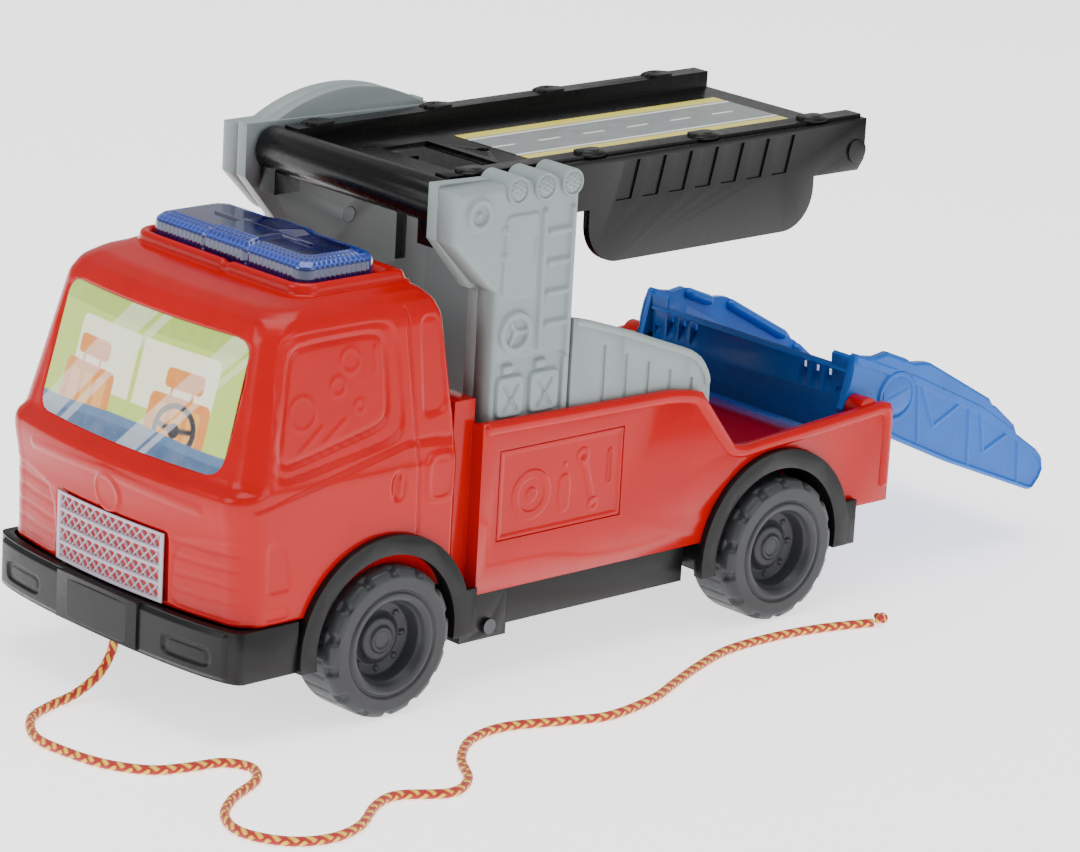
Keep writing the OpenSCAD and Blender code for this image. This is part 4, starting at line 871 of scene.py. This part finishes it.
# %% Rims along the open edges
def rolled_rim(name, path_xz, at_y, wide, proud, body, finish):
    """An oval tube along a path in a side plane: half axes `wide` in the plane and `proud` across it.
    The last three steps at each end shrink as a quarter circle, so that the ends are domed."""
    path = eased_line(path_xz, 0.8, 5)
    ahead = np.gradient(path, axis=0)
    ahead /= np.linalg.norm(ahead, axis=1)[:, None]
    normal = np.stack([-ahead[:, 1], ahead[:, 0]], axis=1)
    count = len(path)
    ends = np.minimum(np.arange(count), np.arange(count)[::-1]) * 0.8
    size = np.sqrt(np.clip(1 - (1 - np.clip(ends / wide, 0, 1)) ** 2, 0.0004, 1))[:, None]
    ring = np.linspace(0, 2 * np.pi, 20, endpoint=False)[None]
    x = path[:, :1] + wide * size * np.cos(ring) * normal[:, :1]
    z = path[:, 1:] + wide * size * np.cos(ring) * normal[:, 1:]
    y = at_y + proud * size * np.sin(ring)
    points = np.vstack([np.stack([x, y + 0 * x, z], axis=-1).reshape(-1, 3),
                        [path[0, 0], at_y, path[0, 1]], [path[-1, 0], at_y, path[-1, 1]]])
    return piece(name, points, capped(count, 20), body, finish)


bed_lo, bed_hi = box_mm("bed_tub")
BED_BACK, BED_HALF = bed_lo[0], bed_hi[1]
bed_edge = [[96.2, 95.3], [6.6, 93.6], [-3.6, 92.2], [-8, 90.8], [-26, 68.4], [-32.6, 66.8],
            [-105.8, 72], [-108.2, 70.4], [BED_BACK + 2.4, 68], [BED_BACK + 2.4, 40]]
for word, side in SIDES:
    rim = rolled_rim("bed_rim_" + word, bed_edge, side * (BED_HALF - 0.5), 2.5, 1.7, "truck", red)
panel_hi = box_mm("side_panel_left")[1]
for side, word, front_end in ((1, "left", 53.6), (-1, "right", 23.6)):
    panel_edge = [[front_end, 127.6], [front_end - 5, 126.6], [front_end - 25, 120], [-4.6, 107.6],
                  [-9.6, 104.2], [-13.8, 97.8], [-13.9, 94]]
    rim = rolled_rim("side_panel_rim_" + word, panel_edge, side * (panel_hi[1] - 0.2), 1.5, 1.1,
                     "truck", grey)

# %% [markdown]
# ## Embossed skins
# The towers, the bed's tool panel, the bumper and the ramp's sides are covered in raised
# shapes. Each is a height field over the flat side: the sum of soft masks for the shapes.
# The tower's is thick enough to be the whole outer moulding, with rounded outer edges.


# %% Tower skins
def rounded_edge(depth, radius):
    """Height lost near an edge: a quarter circle of that radius, zero further in."""
    d = np.clip(depth, 0, radius)
    return -(radius - np.sqrt(np.clip(radius**2 - (radius - d) ** 2, 0, None)))


def ring(x, z, at, outer, inner, ease=0.7):
    """1 on a flat ring."""
    return disc(x, z, at, outer, ease) - disc(x, z, at, inner, ease)


tower_lo, tower_hi = box_mm("tower_left_outer")
wide_lo = box_mm("tower_right_outer")[0]
COLUMN_FRONT, HEAD_FRONT, TOWER_TOP, FOOT_Z = 91.25, tower_hi[0], 181.0, tower_lo[2]
TOWER_Y, SEAM_Y = 64.3, 54.9


def tower_relief(x, z):
    """Embossing of a tower's outer face: pulley, brace, hatch, ladder, hand wheel and two fuel cans."""
    h = 1.3 * ring(x, z, (101.2, 172.2), 6.2, 3.9) + 0.9 * disc(x, z, (101.2, 172.2), 1.5, 0.9)
    h = h - 1.7 * inside(x, z, [(108.6, 160.8), (94.2, 159.8), (94.8, 145.4)], 0.8, 0.8)
    for at in ((103, 157.6), (99.6, 152.4), (97.2, 148.6)):
        h = h + 1.0 * disc(x, z, at, 1.4, 0.8)
    h = h - 1.3 * groove(x, z, (93.4, 163), (92.6, 122), 1.0)
    h = h + 0.7 * inside(x, z, [(88.9, 170.4), (73, 170.6), (72.9, 139.4), (90, 140.8)], 0.7, 0.8)
    h = h + 0.7 * block(x, z, 74.1, 75.7, 150.6, 161.6, 0.6, 0.5)
    for level in (165.2, 156):
        h = h + 0.6 * block(x, z, 87.6, 90.6, level - 1.8, level + 1.8, 0.6, 0.5)
    for rail, low in ((70.9, 121), (57.6, 116.8)):
        h = h + 1.3 * groove(x, z, (rail, low), (rail, 169.6), 1.7)
    for level in (162.2, 151.2, 140.2, 129.1):
        h = np.maximum(h, 1.2 * groove(x, z, (58, level), (67.4, level), 1.7))
    h = h + 1.5 * ring(x, z, (82, 128), 8, 5.5) + 1.1 * disc(x, z, (82, 128), 2, 0.8)
    for angle in np.radians([60, 180, 300]):
        end = (82 + 6 * np.cos(angle), 128 + 6 * np.sin(angle))
        h = np.maximum(h, 1.0 * groove(x, z, (82, 128), end, 1.5))
    h = h - 1.5 * block(x, z, 57.6, 90.2, 95, 118.8, 0.8, 0.8)
    for x0, x1, cap0, cap1 in ((75.6, 88.9, 80.6, 86.8), (59.2, 73.6, 65.2, 71.6)):
        h = h + 1.6 * block(x, z, x0, x1, 96.8, 112.6, 0.9, 1.0)
        h = h + 1.5 * block(x, z, cap0, cap1, 112.6, 116.8, 0.8, 0.6)
        mid = (x0 + x1) / 2
        for lean in (-1, 1):
            h = h - 0.7 * groove(x, z, (mid - 3 * lean, 99.8), (mid + 3 * lean, 108.6), 1.1)
    return h


def tower_skin(name, node, side, back_x):
    """Grid from the tower's back edge to its front edge at each level, under the top outline."""
    t = np.linspace(0, 1, 300)[:, None]
    s = np.linspace(0, 1, 200 if back_x > 40 else 230)[None]
    level = FOOT_Z + t * (TOWER_TOP - FOOT_Z)
    front_edge = np.interp(level, [143, 146, 162.4], [COLUMN_FRONT, COLUMN_FRONT + 4.4, HEAD_FRONT])
    x = back_x + s * (front_edge - back_x)
    arch = 119 + np.sqrt(np.clip(71**2 - (x - 63.25) ** 2, 0, None))
    top = TOWER_TOP if back_x > 40 else np.maximum(TOWER_TOP, np.where((x > 26) & (x < 98), arch, 0))
    z = FOOT_Z + t * (top - FOOT_Z)
    depth = np.minimum(np.minimum(x - back_x, front_edge - x), top - z)
    h = rounded_edge(depth, 2.4) + tower_relief(x, z) * ramp_up(depth, 0.4, 1.6)
    if back_x < 40:
        rib = np.exp(-((np.hypot(x - 63.25, z - 119) - 62) / 1.0) ** 2) * (z > 174) * (x > 30) * (x < 97)
        h = h + 1.0 * rib
    y = side * (TOWER_Y + h)
    skin = sheet_block(name, np.stack([x, y, z + 0 * x], axis=-1), 0, "truck", grey,
                       plain_back=True, flat_y=side * SEAM_Y)
    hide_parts(node)


for side, word, back_x in ((1, "left", tower_lo[0]), (-1, "right", wide_lo[0])):
    tower_skin("tower_skin_" + word, f"tower_{word}_outer", side, back_x)


# %% Work lamps on the left tower
def lamp_tube(name, x, z, y0, y1):
    """A tube along y with a rim and a dome whose face has a fine triangular pattern."""
    line = eased_line([[0.02, y0], [5, y0], [5, y1 - 1], [4.8, y1], [4.1, y1], [3.9, y1 - 0.7],
                       [3.5, y1 - 0.5], [2, y1 + 0.3], [0.02, y1 + 0.5]], 0.22, 0.5)
    turn = np.linspace(0, 2 * np.pi, 72, endpoint=False)[None]
    r, y = line[:, :1] + 0 * turn, line[:, 1:] + 0 * turn
    px, pz = r * np.cos(turn), r * np.sin(turn)
    grain = sum(np.cos(2 * np.pi * (px * np.cos(a) + pz * np.sin(a)) / 1.5) for a in np.radians([0, 60, 120]))
    y = y + 0.13 * grain * ramp_up(3.8 - r, 0, 0.4) * (y > y1 - 2)
    points = np.vstack([np.stack([x + px, y, z + pz], axis=-1).reshape(-1, 3), [x, y0, z], [x, y1 + 0.5, z]])
    lamp = piece(name, points, capped(len(line), 72), "truck", grey)


for k in range(3):
    lamp_tube(f"work_lamp_{k + 1}", tower_lo[0] + 4.9 + 12.6 * k, 178.9, 49.9, 65.6)

# %% Tool panel on each side of the bed
px_ = np.linspace(28.9, 87.5, 200)[None]
pz_ = np.linspace(53.6, 86.2, 116)[:, None]
tools = 0.3 * ring(px_, pz_, (72, 68), 9.5, 6.4) + 0.3 * disc(px_, pz_, (72, 68), 3, 0.8)
tools = tools + 0.3 * block(px_, pz_, 53, 59.5, 58, 74, 0.8, 1.6)
tools = tools + 0.3 * block(px_, pz_, 55, 57.5, 74.8, 78, 0.6, 0.6)
tools = tools + 0.3 * groove(px_, pz_, (42.5, 61), (47.5, 77), 2.2)
tools = tools + 0.3 * ring(px_, pz_, (47.9, 78.4), 3.4, 1.6) + 0.3 * ring(px_, pz_, (42.1, 59.6), 3, 1.4)
tools = tools + 0.6 * block(px_, pz_, 33, 36.4, 65, 80, 0.6, 1)
tools = tools - 0.6 * block(px_, pz_, 33.9, 35.5, 66, 79, 0.5, 0.5)
border = np.minimum(np.minimum(px_ - 28.9, 87.5 - px_), np.minimum(pz_ - 53.6, 86.2 - pz_))
tools = tools + 0.35 * (1 - ramp_up(border, 0.6, 2.4))
for word, side in SIDES:
    y = side * (BED_HALF - 0.55 + tools)
    skin = sheet_block("tool_panel_" + word, np.stack([px_ + 0 * pz_, y, pz_ + 0 * px_], axis=-1),
                       np.array([0, -side * 0.6, 0]), "truck", red, plain_back=True)

# %% Bumper face with lamp recesses and a bare plate
bumper_lo, bumper_hi = box_mm("front_bumper")
by = np.linspace(-64.5, 64.5, 270)[None]
low, high = bumper_lo[2] + 0.6, bumper_hi[2] - 0.6
bz = np.linspace(low, high, 54)[:, None]
bow = 9.5 * (np.arcsin(np.clip(by / 68, -1, 1)) / (np.pi / 2)) ** 2
border = np.minimum(np.minimum(64.5 - np.abs(by), bz - low), high - bz)
face = 0.15 + 0.9 * ramp_up(border, 0, 1.6) + 0 * bz
face = face + 0.7 * block(by, bz, -18, 18, low + 0.5, high - 0.3, 0.8, 1)
fog = block(np.abs(by), bz, 34, 58, low + 3.2, low + 11, 0.9, 1.4)
face = face - 0.85 * fog + 0.25 * block(np.abs(by), bz, 36, 56, low + 4.8, low + 9.4, 0.8, 1)
bumper_x = bumper_hi[0] - 1.5 - bow + face - 0.9 * ramp_up(np.abs(by), 62, 64.5)
bumper_skin = sheet_block("bumper_face", np.stack([bumper_x, by + 0 * bz, bz + 0 * by], axis=-1),
                          np.array([-1.6, 0, 0]), "truck", black)

# %% Ramp sides
pins_lo, pins_hi = box_mm("ramp_hinge_pins")
ramp_hi = box_mm("ramp_body")[1]
HINGE, SLOPE, RAMP_LEN = (pins_lo + pins_hi) / 2, np.radians(25), 119.6
RAMP_SIDE = ramp_hi[1] - 0.8


def ramp_place(u, w):
    """From the ramp's own length u and height w to x and z."""
    return (HINGE[0] - u * np.cos(SLOPE) - w * np.sin(SLOPE),
            HINGE[2] - u * np.sin(SLOPE) + w * np.cos(SLOPE))


u = np.linspace(-8.2, RAMP_LEN - 0.2, 400)[:, None]
t = np.linspace(0, 1, 100)[None]
low_u = [-8.4, -5, -4.6, -1, 6, 14, 32, RAMP_LEN - 55, RAMP_LEN - 5, RAMP_LEN - 2.7, RAMP_LEN]
low_w = [16.6, 0.4, -3, -5.5, -5.3, -4.6, -5.2, -4.8, -2, -1.2, 7]
high_u = [-8.4, -7.4, -3, 3, 8, 24.9, 30, 33, RAMP_LEN - 46, RAMP_LEN - 43, RAMP_LEN - 40, RAMP_LEN - 26,
          RAMP_LEN - 23, RAMP_LEN - 8.2, RAMP_LEN - 4, RAMP_LEN]
high_w = [17, 18.4, 18.8, 20.4, 23.6, 24.6, 26.4, 27.2, 24.4, 22.8, 22.6, 19, 16.4, 14.1, 12.6, 7.4]
bottom, crown = np.interp(u, low_u, low_w), np.interp(u, high_u, high_w)
w = bottom + t * (crown - bottom)
belt = np.interp(u, [-5, 28, 70, 113, RAMP_LEN], [16.6, 18.9, 18.9, 13.4, 9])
inset = np.minimum(np.minimum(w - bottom, crown - w), np.minimum(u + 8.2, RAMP_LEN - 0.2 - u))
h = 0.1 + 0.75 * (1 - ramp_up(np.minimum(np.abs(w - belt), np.minimum(w - bottom, RAMP_LEN - u)), 1.2, 2.0))
h = np.maximum(h, 0.55 * ramp_up(w - belt, 0, 0.8))
for start, end in (((30, 18.5), (42, -2)), ((33.5, 17.5), (47.5, 5.4)), ((47.5, 5.4), (59, 18.5)),
                   ((64.4, 17), (74.6, -2)), ((71.5, 17.5), (81, 4.5)), ((81, 4.5), (92, 15.5)),
                   ((98.7, 14.5), (107.4, -1))):
    h = np.maximum(h, 0.7 * groove(u, w, start, end, 1.3))
h = np.maximum(h * (1 - disc(u, w, (21.2, 10), 10.5, 0.8)), 1.0 * ring(u, w, (21.2, 10), 10.3, 8.3))
h = np.maximum(h, 0.9 * groove(u, w, (17, 6.6), (25.4, 13.6), 2.6))
h = np.maximum(h, 0.8 * disc(u, w, (21.2, 10), 8.3, 0.8) * 0.2)
h = h * ramp_up(inset, 0, 1.0) * ramp_up(np.hypot(u, w), 6.2, 8) + 0.05
sx, sz = ramp_place(u, w)
for word, side in SIDES:
    skin = sheet_block("ramp_side_" + word, np.stack([sx, side * (RAMP_SIDE + h), sz], axis=-1),
                       np.array([0, -side * 0.4, 0]), "ramp", blue, plain_back=True)

# %% Rounded bumps along the ramp's walls
for word, side in SIDES:
    for k, path in enumerate(([[8.6, 22], [24.4, 23]], [[33.4, 25.2], [RAMP_LEN - 47.4, 22.6]],
                              [[RAMP_LEN - 40.6, 20.6], [RAMP_LEN - 27, 17.4]])):
        ends = np.array([ramp_place(*p) for p in path])
        bump = rolled_rim(f"ramp_bump_{word}_{k + 1}", ends, side * (RAMP_SIDE - 3.2), 2.2, 3.2, "ramp", blue)

# %% Oval bumps on the deck's rails
tray_hi = box_mm("deck_tray")[1]
for word, side in SIDES:
    for k, x in enumerate((15.7, 71.5, 127.3, 183)):
        s = np.linspace(0, 1, 26)[:, None]
        turn = np.linspace(0, 2 * np.pi, 64, endpoint=False)[None]
        r = np.sin(np.minimum(s * 1.25, 1) * np.pi / 2) ** 0.5
        rise = 1.7 * np.cos(np.minimum(s * 1.0, 1) * np.pi / 2) ** 0.35
        dent = 0.7 * np.exp(-((s - 0.28) / 0.1) ** 2)
        cx, cy = 101.15 - x, side * (tray_hi[1] - 4.2)
        bx = cx + s * 6.4 * np.cos(turn)
        by_ = cy + s * 3.4 * np.sin(turn)
        bz_ = tray_hi[2] - 1.4 + rise - dent + 0 * turn
        bz_[-1] = tray_hi[2] - 2.2
        points = np.stack([bx, by_, bz_], axis=-1)[1:]
        points = np.vstack([points.reshape(-1, 3), [cx, cy, bz_[1, 0]], [cx, cy, tray_hi[2] - 2.2]])
        bump = piece(f"rail_bump_{word}_{k + 1}", points, capped(25, 64), "deck", deck_black)

# %% [markdown]
# ## Floor and light
# The toy stands on a plain pale floor under soft studio light: a broad overhead panel, a
# large panel on the side that faces the camera, and a weaker one behind.


# %% Floor and lamps
def floor_finish():
    """Near-white paper with a faint mottle."""
    n = Nodes("pale_paper")
    n.link(n.blend(n.noise(60), linear(250, 250, 250), linear(246, 246, 247)), n.shader.inputs["Base Color"])
    n.shader.inputs["Roughness"].default_value = 0.6
    n.shader.inputs["Emission Color"].default_value = (1, 1, 1, 1)
    n.shader.inputs["Emission Strength"].default_value = 1.5
    return n.material


t = np.linspace(-6, 6, 5)
fx, fy = np.meshgrid(t, t, indexing="ij")
floor_mesh = bpy.data.meshes.new("floor")
floor_mesh.from_pydata(np.stack([fx, fy, 0 * fx], axis=-1).reshape(-1, 3).tolist(), [],
                       [list(map(int, f)) for f in grid_faces(5, 5)])
floor_mesh.materials.append(floor_finish())
floor = bpy.data.objects.new("floor", floor_mesh)
bpy.context.scene.collection.objects.link(floor)
floor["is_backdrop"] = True


def panel(name, place, size, power):
    """A square area lamp that faces the truck."""
    lamp = bpy.data.lights.new(name, "AREA")
    lamp.size, lamp.energy = size, power
    made = bpy.data.objects.new(name, lamp)
    bpy.context.scene.collection.objects.link(made)
    made.location = place
    made.rotation_mode = "QUATERNION"
    made.rotation_quaternion = (Vector((0, 0, 0.08)) - Vector(place)).to_track_quat("-Z", "Y")
    return made


panel("overhead_panel", (0.1, 0.1, 1.9), 1.6, 30)
panel("front_panel", (2.2, -0.5, 1.2), 1.2, 16)
panel("side_panel", (-0.6, 2.3, 1.1), 1.4, 14)
world = bpy.data.worlds.new("studio")
bpy.context.scene.world = world
world.use_nodes = True
world.node_tree.nodes["Background"].inputs["Color"].default_value = (1, 1, 1, 1)
world.node_tree.nodes["Background"].inputs["Strength"].default_value = 0.55

# %% Sizes and finish
now_lo, now_hi = (list(corner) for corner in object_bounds())
growth = np.stack([np.array(cad_lo) - now_lo, np.array(now_hi) - cad_hi]) / MM
print("visual grows by mm:", np.round(growth, 1))
